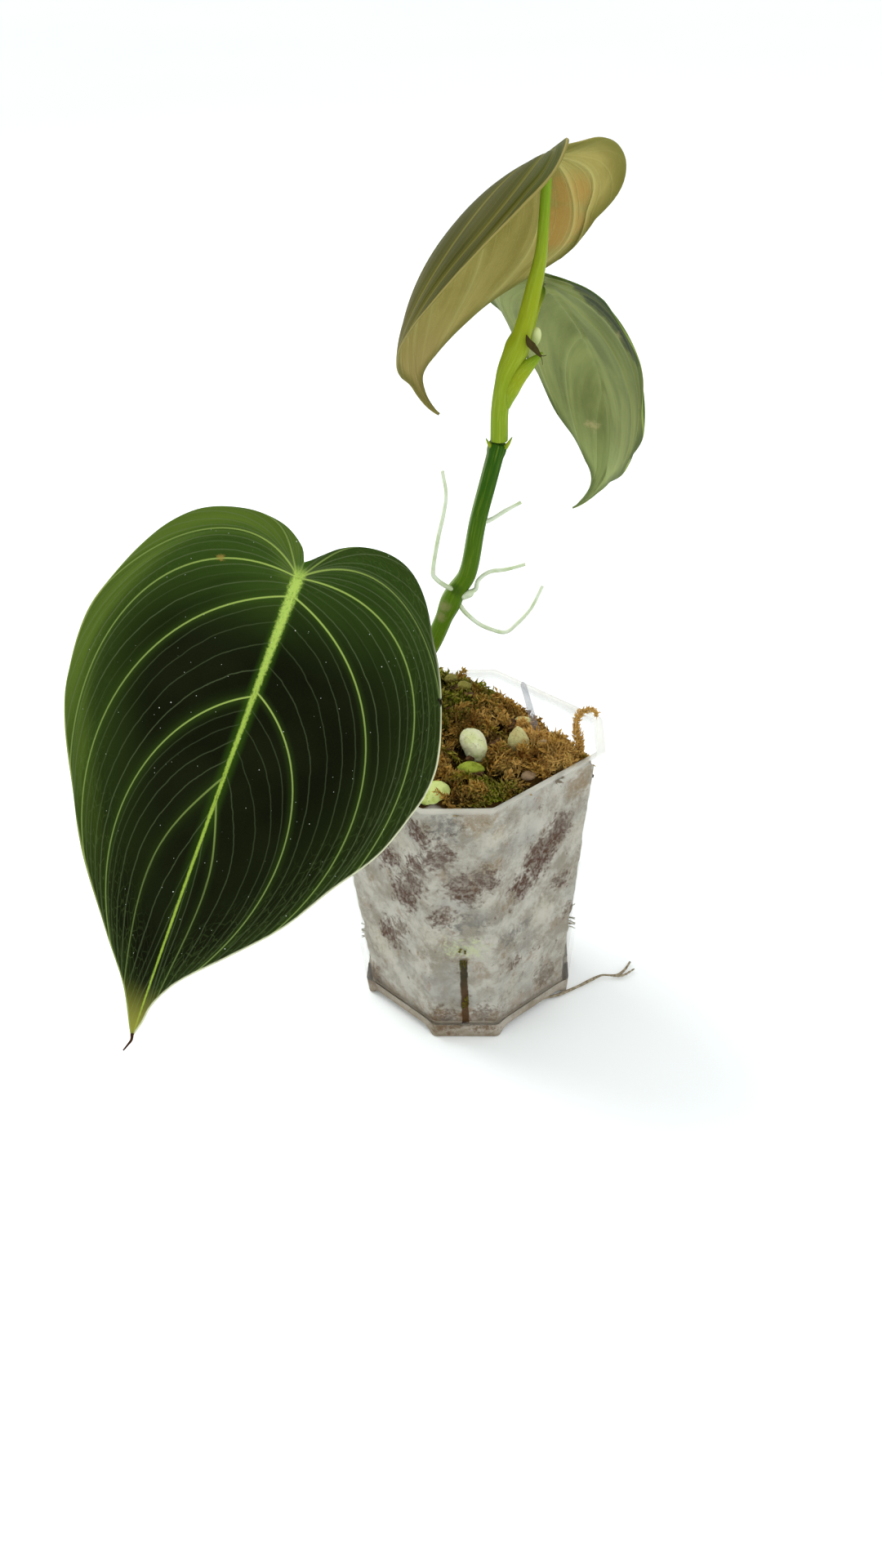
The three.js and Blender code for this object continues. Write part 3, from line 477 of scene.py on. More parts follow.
def bend_midrib(leaf):
    """Places and turns along the midrib, from the junction to the tip."""
    turn = np.eye(3)
    places = [np.zeros(3)]
    turns = [turn]
    for i in range(MIDRIB_STEPS):
        curl = leaf["curl"] / (1 - CURL_FROM) if (i + 0.5) / MIDRIB_STEPS > CURL_FROM else 0
        down, twist, sway = np.radians([-leaf["droop"] - curl, -leaf["twist"], -leaf["sway"]]) / MIDRIB_STEPS
        after = turn @ turned("X", down) @ turned("Z", sway) @ turned("Y", twist)
        places.append(places[-1] + (turn[:, 1] + after[:, 1]) * leaf["length"] / MIDRIB_STEPS / 2)
        turn = after
        turns.append(turn)
    return np.array(places), np.array(turns)


def midrib_at(leaf, stops, along):
    """Place and turn of the midrib line; below zero it is the bend of the lobes behind the junction."""
    places, turns = stops
    steps = np.clip(along, 0, 1) * MIDRIB_STEPS
    low = np.minimum(steps.astype(int), MIDRIB_STEPS - 1)
    share = steps - low
    place = places[low] * (1 - share)[..., None] + places[low + 1] * share[..., None]
    turn = turns[low] * (1 - share)[..., None, None] + turns[low + 1] * share[..., None, None]
    back = math.radians(leaf["back"])
    reach = np.maximum(-along, 0)
    angle = back * (reach / LOBE_REACH) ** leaf["back_ease"]
    stations = reach[..., None] * np.linspace(0, 1, len(SUM_WEIGHTS))
    on_the_way = back * (stations / LOBE_REACH) ** leaf["back_ease"]
    size = reach * leaf["length"]
    behind = np.stack([0 * angle, -size * (np.cos(on_the_way) @ SUM_WEIGHTS),
                       -size * (np.sin(on_the_way) @ SUM_WEIGHTS)], -1)
    lobes = np.zeros(angle.shape + (3, 3))
    lobes[..., 0, 0] = 1
    lobes[..., 1, 1] = lobes[..., 2, 2] = np.cos(angle)
    lobes[..., 2, 1] = np.sin(angle)
    lobes[..., 1, 2] = -np.sin(angle)
    lobe = along < 0
    return np.where(lobe[..., None], behind, place), np.where(lobe[..., None, None], lobes, turn)


def surface(leaf, stops, side, x, y):
    """The blade's middle surface at flat places of one half."""
    half = leaf[side]
    place, turn = midrib_at(leaf, stops, y)
    outward = x / HALF_WIDTH
    first = half["fold"] + leaf["fold_at_tip"] * np.clip(y, 0, 1)
    u = outward[..., None] * np.linspace(0, 1, len(SUM_WEIGHTS))
    slope = np.radians(first[..., None] + half["arch"] * u + half["rim"] * u ** 4)
    reach = x * leaf["width"] * leaf["length"]
    local = np.stack([side * reach * (np.cos(slope) @ SUM_WEIGHTS), 0 * reach,
                      -reach * (np.sin(slope) @ SUM_WEIGHTS)], -1)
    return place + np.einsum("...ij,...j->...i", turn, local)


def surface_normal(leaf, stops, side, x, y):
    """The direction out of the upper face, which is the midrib's own on the midrib."""
    step = 0.004
    out = surface(leaf, stops, side, x + step, y) - surface(leaf, stops, side, np.maximum(x - step, 0), y)
    on = surface(leaf, stops, side, x, y + step) - surface(leaf, stops, side, x, y - step)
    normal = np.cross(out, on) * side
    normal /= np.linalg.norm(normal, axis=-1, keepdims=True)
    crease = midrib_at(leaf, stops, y)[1][..., :, 2]
    share = np.clip(x / BLADE["crease"], 0, 1)[..., None]
    blend = crease * (1 - share) + normal * share
    return blend / np.linalg.norm(blend, axis=-1, keepdims=True)


def vein_rows(veins):
    """Margin places of the rows, and their vein count: whole numbers are the main veins."""
    phase = []
    for i, count in enumerate(ROWS_BETWEEN_VEINS):
        t = np.arange(count) / count
        phase.extend(i + 0.6 * t + 0.4 * (0.5 - 0.5 * np.cos(np.pi * t)))
    phase = np.array(phase + [len(ROWS_BETWEEN_VEINS)])
    return phase, np.interp(phase, np.arange(len(veins)), veins)


def half_blade(leaf, stops, side):
    """Grid points of the upper and lower face of one half, with the values that its material reads."""
    half = leaf[side]
    phase, places = vein_rows(half["veins"])
    t = np.linspace(0, 1, COLUMNS)
    along = 0.45 * t + 0.55 * (0.5 - 0.5 * np.cos(np.pi * t))
    flat = flat_grid(half["outline"], places, along)
    x, y = flat[..., 0], flat[..., 1]
    size = leaf["length"]
    middle = surface(leaf, stops, side, x, y)
    normal = surface_normal(leaf, stops, side, x, y)
    row_step = np.gradient(flat, phase, axis=0) * size
    column_step = np.gradient(flat, along, axis=1)
    column_step /= np.linalg.norm(column_step, axis=-1, keepdims=True) + 1e-9
    spacing = np.abs(row_step[..., 0] * column_step[..., 1] - row_step[..., 1] * column_step[..., 0])
    p = np.broadcast_to(phase[:, None], x.shape)
    r = np.broadcast_to(along[None, :], x.shape)
    from_vein = np.abs(p - np.round(p)) * spacing
    width = np.diff(half["veins"])
    room = np.minimum(1, width / BLADE["quilted_from"])[np.minimum(p.astype(int), len(width) - 1)]
    from_midrib = x * size * leaf["width"]
    on_midrib = (y > 0) * np.clip(1 - BLADE["midrib_fade"] * y, 0, 1)
    bulge = BLADE["quilt"] * np.sin(np.pi * (p % 1)) ** 2 * room * 4 * r * (1 - r)
    rippled = BLADE["ripple"] * np.clip(spacing / BLADE["rippled_from"], 0, 1)
    ripple = rippled * -np.cos(2 * np.pi * BLADE["ripples"] * p) * np.sin(np.pi * r)
    on_margin = np.pi * places[:, None]
    wave = leaf["wave"] * np.sin(2 * BLADE["waves"] * on_margin + side) * np.sin(on_margin) * r ** 4
    fade = 1 - BLADE["vein_fade"] * r
    groove = BLADE["groove"] * fade * np.exp(-(from_vein / BLADE["groove_reach"]) ** 2)
    channel = BLADE["channel"] * on_midrib * np.exp(-(from_midrib / BLADE["channel_reach"]) ** 2)
    lift = bulge + ripple + wave
    ridge = BLADE["midrib_height"] * on_midrib * np.exp(-(from_midrib / BLADE["midrib_reach"]) ** 2)
    vein_ridge = BLADE["vein_height"] * fade * np.exp(-(from_vein / BLADE["vein_reach"]) ** 2)
    edge = np.sqrt(1 - ((r - 1 + BLADE["edge"]) / BLADE["edge"]).clip(0, 1) ** 2)
    thick = BLADE["thickness"] / 2 * edge
    thin = edge[..., None]
    upper = middle + normal * (lift + thick)[..., None] - normal * (groove + channel)[..., None] * thin
    lower = middle + normal * (lift - thick)[..., None] - normal * (ridge + vein_ridge)[..., None] * thin
    margin = margin_curve(half["outline"], EDGE_POINTS)
    away = np.sqrt(((flat[..., None, :] - margin) ** 2).sum(-1)).min(-1) * size
    values = {
        "phase": p, "spacing": spacing, "along": r, "from_midrib": from_midrib, "tipward": y,
        "from_margin": away, "side": np.full(x.shape, 0.5 + 0.5 * side),
    }
    return upper, lower, values


def blade(name):
    """The mesh of a leaf from its two halves, and 0 or 1 for each face on the upper or the lower side."""
    leaf = LEAVES[name]
    stops = bend_midrib(leaf)
    stand = (turned("Z", math.radians(leaf["yaw"])) @ turned("X", math.radians(leaf["pitch"]))
             @ turned("Y", math.radians(leaf["roll"])))
    points, faces, slots, values = [], [], [], {}
    offset = 0
    for side in (1, -1):
        upper, lower, half_values = half_blade(leaf, stops, side)
        rows, columns = upper.shape[:2]
        for face_slot, grid in enumerate((upper, lower)):
            points.append(grid.reshape(-1, 3) @ stand.T + np.array(leaf["junction"]))
            flip = (side > 0) != (face_slot == 0)
            for i in range(rows - 1):
                for j in range(columns - 1):
                    a = offset + i * columns + j
                    ring = [a, a + 1, a + columns + 1, a + columns]
                    faces.append(ring[::-1] if flip else ring)
                    slots.append(face_slot)
            offset += rows * columns
            for key, array in half_values.items():
                values.setdefault(key, []).append(array.reshape(-1))
    values = {key: np.concatenate(arrays) for key, arrays in values.items()}
    return (np.vstack(points), faces, values), slots


# Leaf materials

def vein_lines(graph, core, edge):
    """Distances in millimetres and soft lines of the main and the fine veins of a blade."""
    phase, spacing, along = graph.value("phase"), graph.value("spacing"), graph.value("along")
    nearest = round(phase)
    distance = abs(phase - nearest) * spacing
    width = along * (edge - core) + core
    main = graph.smooth(distance, width * 1.2, width * 0.25)
    beyond_last = graph.smooth(nearest, 6.6, 5.4)
    in_lobe = graph.smooth(nearest, 0.4, 3.0)
    strength = beyond_last * (in_lobe * 0.35 + 0.65) * (along * -0.4 + 1.0)
    wobble = (graph.noise(0.12, 4, 0.6) - 0.5) * 0.35
    fine_phase = phase * 5.0 + wobble
    fine_nearest = round(fine_phase)
    fine_distance = abs(fine_phase - fine_nearest) * (spacing * 0.2)
    fine = graph.smooth(fine_distance, 0.19, 0.03)
    number = fine_nearest + graph.value("side")
    random = graph.node("ShaderNodeTexWhiteNoise", "Value", {"W": number}, noise_dimensions="1D")
    return {"distance": distance, "main": main * strength, "strength": strength,
            "fine": fine * (random * 0.75 + 0.25), "along": along, "phase": phase}


def midrib_line(graph, *widths):
    """How much a place belongs to the midrib, from (place, half width in millimetres) from base to tip."""
    tipward = graph.value("tipward")
    ramp = graph.add("ShaderNodeFloatCurve", {"Value": tipward})
    curve = ramp.mapping.curves[0]
    for place, width in widths[1:-1]:
        curve.points.new(place, width / 2)
    curve.points[0].location = (0, widths[0][1] / 2)
    curve.points[-1].location = (1, widths[-1][1] / 2)
    ramp.mapping.update()
    width = Value(graph, ramp.outputs[0]) * 2.0
    fuzz = (graph.noise(1.6, 4, 0.7) - 0.5) * 1.6
    distance = graph.value("from_midrib") + fuzz * width
    line = graph.smooth(distance, width * 1.25 + 0.1, width * 0.4)
    return line * graph.smooth(tipward, -0.03, 0.0)


def net(graph, veins, scale):
    """The faint net of the smallest veins between the others, stretched along them."""
    across, onward = veins["phase"] * (11.0 * scale), veins["along"] * (26.0 * scale)
    place = graph.vector(across, onward, graph.value("side"))
    edge, = graph.cells(1.0, "Distance", vector=place, feature="DISTANCE_TO_EDGE")
    return graph.smooth(edge, 0.07, 0.01)


def dust(graph, scale, radius, amount):
    """Small white specks, of a radius in millimetres, in that share of the texture's cells."""
    distance, colour = graph.cells(scale, "Distance", "Color")
    speck = graph.smooth(distance, radius * scale * 1.3, radius * scale * 0.7)
    random = graph.node("ShaderNodeSeparateColor", 0, {0: colour})
    return speck * graph.math("GREATER_THAN", random, 1 - amount)


def front_upper():
    """Velvet, near black between yellow-green veins, and greener on the lobes and towards the margins, with
    painted light on the upper part of the left half.
    """
    graph = Graph("leaf_velvet")
    veins = vein_lines(graph, 0.255, 0.15)
    midrib = midrib_line(graph, (0, 1.3), (0.13, 0.9), (0.26, 0.56), (0.38, 0.42), (0.5, 0.33), (0.75, 0.22),
                         (1, 0.12))
    along, tipward, margin = veins["along"], graph.value("tipward"), graph.value("from_margin")
    left = graph.value("side")
    grain = graph.noise(3.2, 2, 0.7)
    flow = graph.vector(veins["phase"] * 5.0, along * 2.2, left)
    streak = graph.smooth(graph.noise(1.0, 4, 0.65, flow), 0.3, 0.7)
    upper = graph.smooth(tipward, 0.8, 0.3)
    # Greener lobes; the extra green on the left lobe is painted light.
    lobes = graph.smooth(tipward, 0.2, -0.06) * (left * 0.25 + 0.75)
    # Painted light on the upper part of the left half: a broad lighter band, and a bright strip along the
    # margin.
    lit_broad_band = (left * 0.7 + 0.3) * graph.smooth(margin, 20.0, 3.0) * upper
    lit = left * graph.smooth(margin, 7.5, 0.3) * upper
    near_margin = graph.smooth(margin, 5.0, 0.5)
    halo = graph.smooth(veins["distance"], 1.5, 0.1) * veins["strength"]
    # Painted light: a faint lighter glow round the veins on the same lit upper left part.
    lit_vein_glow = graph.smooth(veins["distance"], 3.2, 0.4) * left * upper
    heart = graph.smooth(graph.value("from_midrib"), 2.2, 0.4) * graph.smooth(tipward, 0.95, 0.05)
    small = net(graph, veins, 1.0) * graph.smooth(margin, 12.0, 1.5)
    tissue = graph.over(
        graph.mix(graph.smooth(graph.noise(0.06, 3), 0.3, 0.7), (8, 11, 4), (17, 22, 8)),
        (lobes * (streak * 0.35 + 0.5), (56, 84, 28)),
        (lit_broad_band * 0.56, (54, 76, 24)),
        (lit * (streak * 0.45 + 0.45), (108, 134, 46)),
        (near_margin * (streak * 0.4 + 0.2), (42, 58, 20)),
        (halo * 0.34, (50, 74, 22)),
        (lit_vein_glow * 0.12, (56, 80, 24)),
        (heart * 0.62, (56, 92, 20)),
        (grain * 0.06, (84, 92, 44)),
        (small * 0.24, (84, 104, 56)),
        (veins["fine"] * 0.46, (98, 112, 76)),
    )
    vein_colour = graph.mix(graph.smooth(along, 0.0, 0.6), (160, 184, 92), (136, 158, 84))
    rib_colour = graph.mix(graph.smooth(tipward, 0.02, 0.5), (170, 198, 92), (150, 178, 68))
    rib_colour = graph.mix(graph.smooth(graph.noise(2.0, 4, 0.7), 0.5, 0.75), rib_colour, (104, 138, 52))
    rim_colour = graph.mix(left, (208, 212, 176), (158, 172, 96))
    rim = graph.smooth(margin, 0.55, 0.2) * (left * -0.25 + 1.0)
    ragged = graph.around_zero(0.9, 0.7)
    colour = graph.over(
        tissue,
        (veins["main"] * 0.92, vein_colour),
        (midrib, rib_colour),
        (graph.smooth(tipward, 0.87, 0.99) * 0.8, (150, 150, 64)),
        (rim * graph.smooth(tipward, -0.05, 0.2), rim_colour),
        (graph.near([((-45.5, -59.8, 156.8), 0.7)], ragged, 0.4) * 0.7, (150, 128, 62)),
        (graph.near([((-0.9, -72.4, 129.5), 0.9)], ragged, 0.4), (24, 20, 12)),
        (dust(graph, 0.4, 0.11, 0.16) * 0.8, (225, 232, 220)),
        (dust(graph, 0.8, 0.08, 0.22) * 0.55, (215, 225, 210)),
    )
    relief = veins["fine"] * -0.4 + grain * 0.5
    return graph.finish(colour, grain * 0.2 + 0.4, graph.bump(relief, 0.12), 0.015)


def satin_upper():
    """The young leaf's olive upper face, browner towards the tip."""
    graph = Graph("leaf_satin")
    veins = vein_lines(graph, 0.7, 0.35)
    midrib = midrib_line(graph, (0, 0.9), (0.5, 0.5), (1, 0.3))
    tipward, margin = graph.value("tipward"), graph.value("from_margin")
    grain = graph.noise(2.4, 3, 0.6)
    colour = graph.over(
        graph.mix(graph.noise(0.08, 2), (50, 52, 8), (74, 74, 20)),
        (graph.smooth(tipward, 0.3, 0.85) * 0.6, (112, 100, 50)),
        (graph.smooth(veins["distance"], 1.8, 0.2) * 0.35, (92, 90, 34)),
        (veins["fine"] * 0.3, (108, 102, 46)),
        (veins["main"] * 0.7, (122, 118, 58)),
        (midrib, (140, 162, 60)),
        (graph.smooth(tipward, 0.85, 0.97) * 0.8, (160, 144, 84)),
        (graph.smooth(tipward, 0.1, -0.08) * 0.4, (72, 82, 34)),
        (graph.smooth(margin, 0.5, 0.15), (146, 134, 76)),
    )
    relief = veins["fine"] * -0.5 + grain * 0.35
    return graph.finish(colour, grain * 0.2 + 0.4, graph.bump(relief, 0.12), 0.03)


def underside(name, dark, light, line, contrast, edge, margin_shade_amount, patches=(), tip=None):
    """The paler lower face of a leaf, with soft bands along its raised veins, and painted shade darkening it
    towards the margin.
    """
    graph = Graph(name)
    veins = vein_lines(graph, 0.8, 0.4)
    midrib = midrib_line(graph, (0, 1.2), (0.5, 0.7), (1, 0.4))
    grain = graph.noise(1.8, 3, 0.6)
    flow = graph.vector(veins["phase"] * 1.6, veins["along"] * 1.4, graph.value("side"))
    bands = graph.smooth(graph.noise(1.0, 3, 0.55, flow), 0.3, 0.7)
    cloud = graph.smooth(graph.noise(0.12, 3, 0.6), 0.5, 0.75)
    tissue = graph.over(graph.mix(bands, dark, light), (cloud * 0.4, light))
    ragged = graph.around_zero(0.3, 1.5)
    for spots, reach, amount, patch_colour in patches:
        tissue = graph.mix(graph.near(spots, ragged, reach) * amount, tissue, patch_colour)
    colour = graph.over(
        tissue,
        (veins["fine"] * (0.5 * contrast), line),
        (net(graph, veins, 1.2) * (0.3 * contrast), line),
        (graph.smooth(veins["distance"], 2.6, 0.3) * (0.5 * contrast), line),
        (graph.math("MAXIMUM", veins["main"], midrib) * contrast, line),
    )
    if tip is not None:
        colour = graph.mix(graph.smooth(graph.value("tipward"), 0.55, 0.95) * 0.8, colour, tip)
    # Painted shade: the edge colour darkens the blade over its last few millimetres to the margin.
    colour = graph.mix(graph.smooth(graph.value("from_margin"), 3.0, 0.3) * margin_shade_amount, colour, edge)
    relief = veins["fine"] * 0.6 + grain * 0.3
    return graph.finish(colour, grain * 0.2 + 0.45, graph.bump(relief, 0.12), 0.06)


# Spots of another colour on the undersides, and the painted shade on the back leaf's folded margin: place and
# size
ORANGE_SPOTS = [((27.6, 8.3, 213.2), 4.4), ((26.1, 14.4, 206), 5.0), ((24, 18, 201.8), 4.0)]
SHADED_FOLD = [((29.4, 23.2, 189.5), 3.0), ((32.1, 25.5, 187), 3.6), ((34.1, 26.2, 184.8), 4.0),
                 ((36.6, 26.4, 182.6), 4.4), ((38.5, 25.7, 180.6), 4.8), ((40.6, 25.8, 178), 4.8),
                 ((42.2, 25.8, 175.4), 4.4), ((43.2, 26.6, 172.4), 3.4)]
PALE_SPOTS = [((37.2, 72, 139.1), 1.9), ((40.3, 29.1, 176.1), 0.9)]


def build_leaves():
    velvet = front_upper()
    velvet_under = underside("leaf_velvet_under", (84, 90, 46), (118, 124, 70), (158, 168, 100), 0.5,
                             (96, 110, 54), 0.5)
    # The young leaf's lower face is a pale tan; part of that paleness is painted light shining through the
    # thin blade.
    satin_under = underside("leaf_satin_under", (138, 128, 62), (168, 156, 88), (190, 184, 114), 0.42,
                            (92, 96, 34), 0.6, [(ORANGE_SPOTS, 2.0, 0.6, (180, 134, 66))], (164, 144, 92))
    # The back leaf's folded margin is darkened to a slate green: painted shade.
    back_patches = [(SHADED_FOLD, 1.2, 0.9, (50, 58, 50)), (PALE_SPOTS, 0.8, 0.7, (178, 162, 114))]
    back_under = underside("leaf_back_under", (102, 112, 60), (138, 148, 86), (154, 164, 102), 0.28,
                           (66, 82, 46), 0.6, back_patches, (160, 176, 112))
    for name, slot, upper, lower in (
        ("front_leaf", "leaf_dark", velvet, velvet_under),
        ("top_leaf", "leaf_young", satin_upper(), satin_under),
        ("back_leaf", "leaf_underside", velvet, back_under),
    ):
        mesh, face_slots = blade(name)
        piece(make_object(name + "_blade", mesh, [upper, lower], face_slots), slot, name)


# Stem, petioles and roots

STEM = {
    "lower": [(-12.5, 6, 74), (-12.2, 6, 86), (-11, 6, 96.5), (-6.2, 6, 105.9), (-1, 6, 117.8), (2.7, 6, 124),
              (5.4, 6, 137.1), (8.2, 6, 147.6), (10.8, 6, 157.2)],
    "upper": [(10.9, 6, 157.9), (11.2, 6, 165.7), (12.6, 6, 173.4), (15, 6, 179.1), (17.2, 6, 185.6),
              (19.3, 5.8, 193.7), (20.8, 5, 200.8), (21.5, 4, 209), (22.1, 2.8, 219.1)],
    "front_petiole": [(-8.4, 2.2, 84), (-8.8, 2, 92), (-11, 0, 105), (-15, -9, 122), (-20, -25, 137),
                      (-25, -43, 147), (-29.7, -59.4, 151.1)],
    "back_petiole": [(16.4, 8.2, 178), (18, 13, 182.5), (19.6, 23, 185), (20.8, 32, 185), (21.7, 38, 185.3)],
}
ROOTS = {
    "left": [(-0.6, 5, 119.4), (-3.1, 4, 121.2), (-5.5, 4, 123.3), (-6, 4, 125.5), (-4.5, 4, 133.8),
             (-2.9, 4, 140.2), (-2.1, 4, 145.4), (-2.8, 4, 151.2)],
    "upper_right": [(5.6, 6, 137.4), (8.4, 6, 137.7), (12.5, 6, 140.2), (16.1, 6, 142.2)],
    "middle_right": [(1.6, 6, 118.2), (4.4, 6, 119.1), (5.3, 6, 121.7), (8.2, 6, 123.9), (12.4, 6, 124.5),
                     (17.1, 6, 125.8)],
    "hanging": [(-1.6, 6, 117.4), (0, 6, 115.5), (1.8, 6, 112.7), (4.9, 6, 109.7), (8, 6, 108),
                (11.8, 6, 107), (14.7, 6, 109.1), (18.5, 6, 113.6), (21.4, 6, 119.7)],
}
SHEATH_WING = [(12.6, 5.8, 166), (13.8, 5.6, 170), (16.4, 5.2, 174.4), (19.6, 5, 177.4), (21.2, 4.8, 179)]
JOINT_FLAPS = [[(9.6, 5, 156.2), (8.6, 4.7, 157.4), (7.8, 4.5, 159)],
               [(12.4, 5, 156.4), (13.2, 4.7, 157.6), (14.1, 4.5, 159.2)]]
ROOT_NUB = [(1.2, 5, 117.6), (3, 4.6, 118.6), (4.2, 4.6, 119.4)]
LOWER_RADIUS = ((0, 2), (0.2, 2.3), (0.44, 2.2), (0.5, 2.7), (0.56, 2.3), (0.8, 2.1), (0.96, 2.1),
                (0.98, 2.35), (1, 2.2))
UPPER_RADIUS = ((0, 2.1), (0.2, 2.1), (0.3, 2.6), (0.36, 2.9), (0.42, 2.2), (0.6, 1.8), (0.75, 1.3), (1, 1.1))


def stem_material(name, low, middle, high, stripe, highlight_colour=None, patches=(), roughness=0.4):
    """A smooth stem that changes colour upwards, with faint stripes along it, and an optional painted
    highlight stripe down one side.
    """
    graph = Graph(name)
    along, across = graph.value("along"), graph.value("across")
    lengthwise = graph.vector(across * 4.0, graph.value("toward") * 4.0, along * 7.0)
    streak = graph.noise(1.0, 3, 0.6, lengthwise)
    colour = graph.over(
        graph.mix(graph.smooth(along, 0.0, 0.5), low, middle),
        (graph.smooth(along, 0.5, 1.0), high),
        (graph.smooth(streak, 0.45, 0.7) * 0.55, stripe),
    )
    if highlight_colour is not None:
        # Painted highlight: a paler stripe down the side that faces the light.
        highlight_stripe = graph.smooth(across, 0.35, 0.95) * graph.smooth(streak, 0.3, 0.55)
        colour = graph.mix(highlight_stripe * 0.75, colour, highlight_colour)
    ragged = graph.around_zero(0.5, 0.8)
    for spots, amount, patch_colour in patches:
        colour = graph.mix(graph.near(spots, ragged, 0.9) * amount, colour, patch_colour)
    mottle = graph.noise(0.5, 3) * 0.2 + roughness
    return graph.finish(colour, mottle, graph.bump(streak, 0.15), 0.08, (0.12, (2, 2, 0.8)))


def root_material():
    graph = Graph("aerial_root")
    spots = graph.noise(0.3, 3)
    colour = graph.over(
        graph.mix(graph.smooth(spots, 0.35, 0.75), (216, 226, 202), (188, 204, 160)),
        (graph.smooth(graph.value("along"), 0.2, 0.0) * 0.6, (150, 166, 108)),
    )
    return graph.finish(colour, 0.6, graph.bump(spots, 0.08), soft=(0.1, (1, 1, 0.6)))


# Shapes of tubes: how many times its radius a tube is thick, by how far along it and which way round

def ribbed(depth):
    """Seven shallow ribs that sway along the tube."""
    return lambda along, angle: 1 + depth * np.cos(7 * angle + 1.5 * np.sin(5 * along))


def flared(along, angle):
    """Flatter and flatter towards the end."""
    return 1 - 0.35 * along * np.abs(np.sin(angle))


def bent_smoothly(along, angle):
    """A little uneven, as a soft root is."""
    return 1 + 0.04 * np.sin(13 * along) + 0.03 * np.sin(3 * angle + 7 * along)


def build_stems():
    node_patches = [
        ([((-3.4, 4, 115.4), 1.5), ((-4.4, 4, 112.6), 1.1)], 0.7, (134, 132, 84)),
        ([((-0.4, 4, 119.8), 1.3)], 0.6, (36, 62, 14)),
    ]
    # The lower stem's (128, 146, 92) is its painted highlight colour.
    dark = stem_material("stem_dark_green", (102, 116, 14), (76, 108, 12), (38, 80, 8), (108, 136, 38),
                         (128, 146, 92), node_patches)
    bright = stem_material("stem_yellow_green", (126, 152, 34), (142, 156, 28), (116, 150, 32),
                           (160, 178, 66), roughness=0.32)
    green = stem_material("petiole_green", (92, 100, 26), (84, 110, 26), (90, 124, 34), (122, 144, 58))
    pale = root_material()
    lower = tube_mesh(STEM["lower"], knots(*LOWER_RADIUS), 150, 28, ribbed(0.035))
    piece(make_object("stem_below", lower, [dark]), "stem_dark", "lower_stem")
    wing_radius = knots((0, 1.0), (0.3, 2.0), (0.6, 1.9), (0.85, 1.0), (1, 0.25))
    upper = [
        tube_mesh(STEM["upper"], knots(*UPPER_RADIUS), 150, 28, ribbed(0.03)),
        tube_mesh(SHEATH_WING, wing_radius, 50, 24, flared),
        tube_mesh(STEM["back_petiole"], knots((0, 1.6), (0.9, 1.3), (1, 0.9)), 60, 20, ribbed(0.02)),
    ]
    upper += [tube_mesh(route, knots((0, 0.6), (0.5, 0.4), (1, 0.1)), 16, 12) for route in JOINT_FLAPS]
    piece(make_object("stem_above", join_parts(upper), [bright]), "stem_bright", "upper_stem")
    front_radius = knots((0, 1.9), (0.2, 1.6), (0.9, 1.45), (0.96, 1.6), (1, 1))
    front = tube_mesh(STEM["front_petiole"], front_radius, 120, 24, ribbed(0.03))
    piece(make_object("petiole_of_front_leaf", front, [green]), "petiole", "front_petiole")
    for name, route in ROOTS.items():
        parts = [tube_mesh(route, tapered(0.62, -0.18), 90, 12, bent_smoothly)]
        if name == "middle_right":
            parts.append(tube_mesh(ROOT_NUB, knots((0, 0.9), (0.6, 1.0), (1, 0.3)), 24, 16))
        piece(make_object("aerial_root_" + name, join_parts(parts), [pale]), "root")


# Pot

POT = {"height": 80, "top_half": 32.4, "foot_half": 26.25, "corner_cut": 12.3, "wall": 1.2, "floor_low": 2.2,
       "floor_top": 3.4, "slot_half": 1.5, "slot_low": 4.2, "slot_high": 38, "edge_radius": 2.2,
       "arch_half": 13, "arch_shoulder": 3.5, "arch_fades_at": 6, "drain_radius": 3, "drain_reach": 14,
       "boss_radius": 7, "band_top_outside": 4.65, "band_top_inside": 2.5, "plain_top": 75.6, "foot_bevel": 0.25,
       "rim_from": 76.4, "rim_over": 0.8, "lip_from": 79.3, "lip_over": 0.4, "edge_over": 1.5}
FACETS = 8
CORNER_COLUMNS = [-1, -0.8, -0.6, -0.4, -0.25]
SIDE_COLUMNS = 17
EDGE_STEPS = 4
SLOT_LEVELS = 16
UPPER_LEVELS = 18
DRAIN_STEPS = 24
BOSS_STEPS = 48
NEARLY = 0.01
FOOT_LEVELS = [0, 0.25, 1.2, 2.4, 2.6, POT["slot_low"], 4.6, 4.7]
BAND_LEVELS = [(76.2, 0.0), (76.6, 0.08), (76.85, 0.3), (77.1, 0.46), (77.5, 0.5), (79.2, 0.5), (79.6, 0.45),
               (79.85, 0.3), (80, 0.05), (80, -0.75), (79.9, -1.0), (79.6, -1.2), (76.6, -1.2)]
BOSS_LEVELS = [(POT["floor_low"] + 0.1, 1), (0.3, 1), (0, 0.96), (0, 0.6), (0, 0.05)]
PLATE_VALUES = {"rim": 0, "lip": 0, "foot": 0.8, "edge": 0}


def pot_half(z):
    return POT["foot_half"] + (POT["top_half"] - POT["foot_half"]) * z / POT["height"]


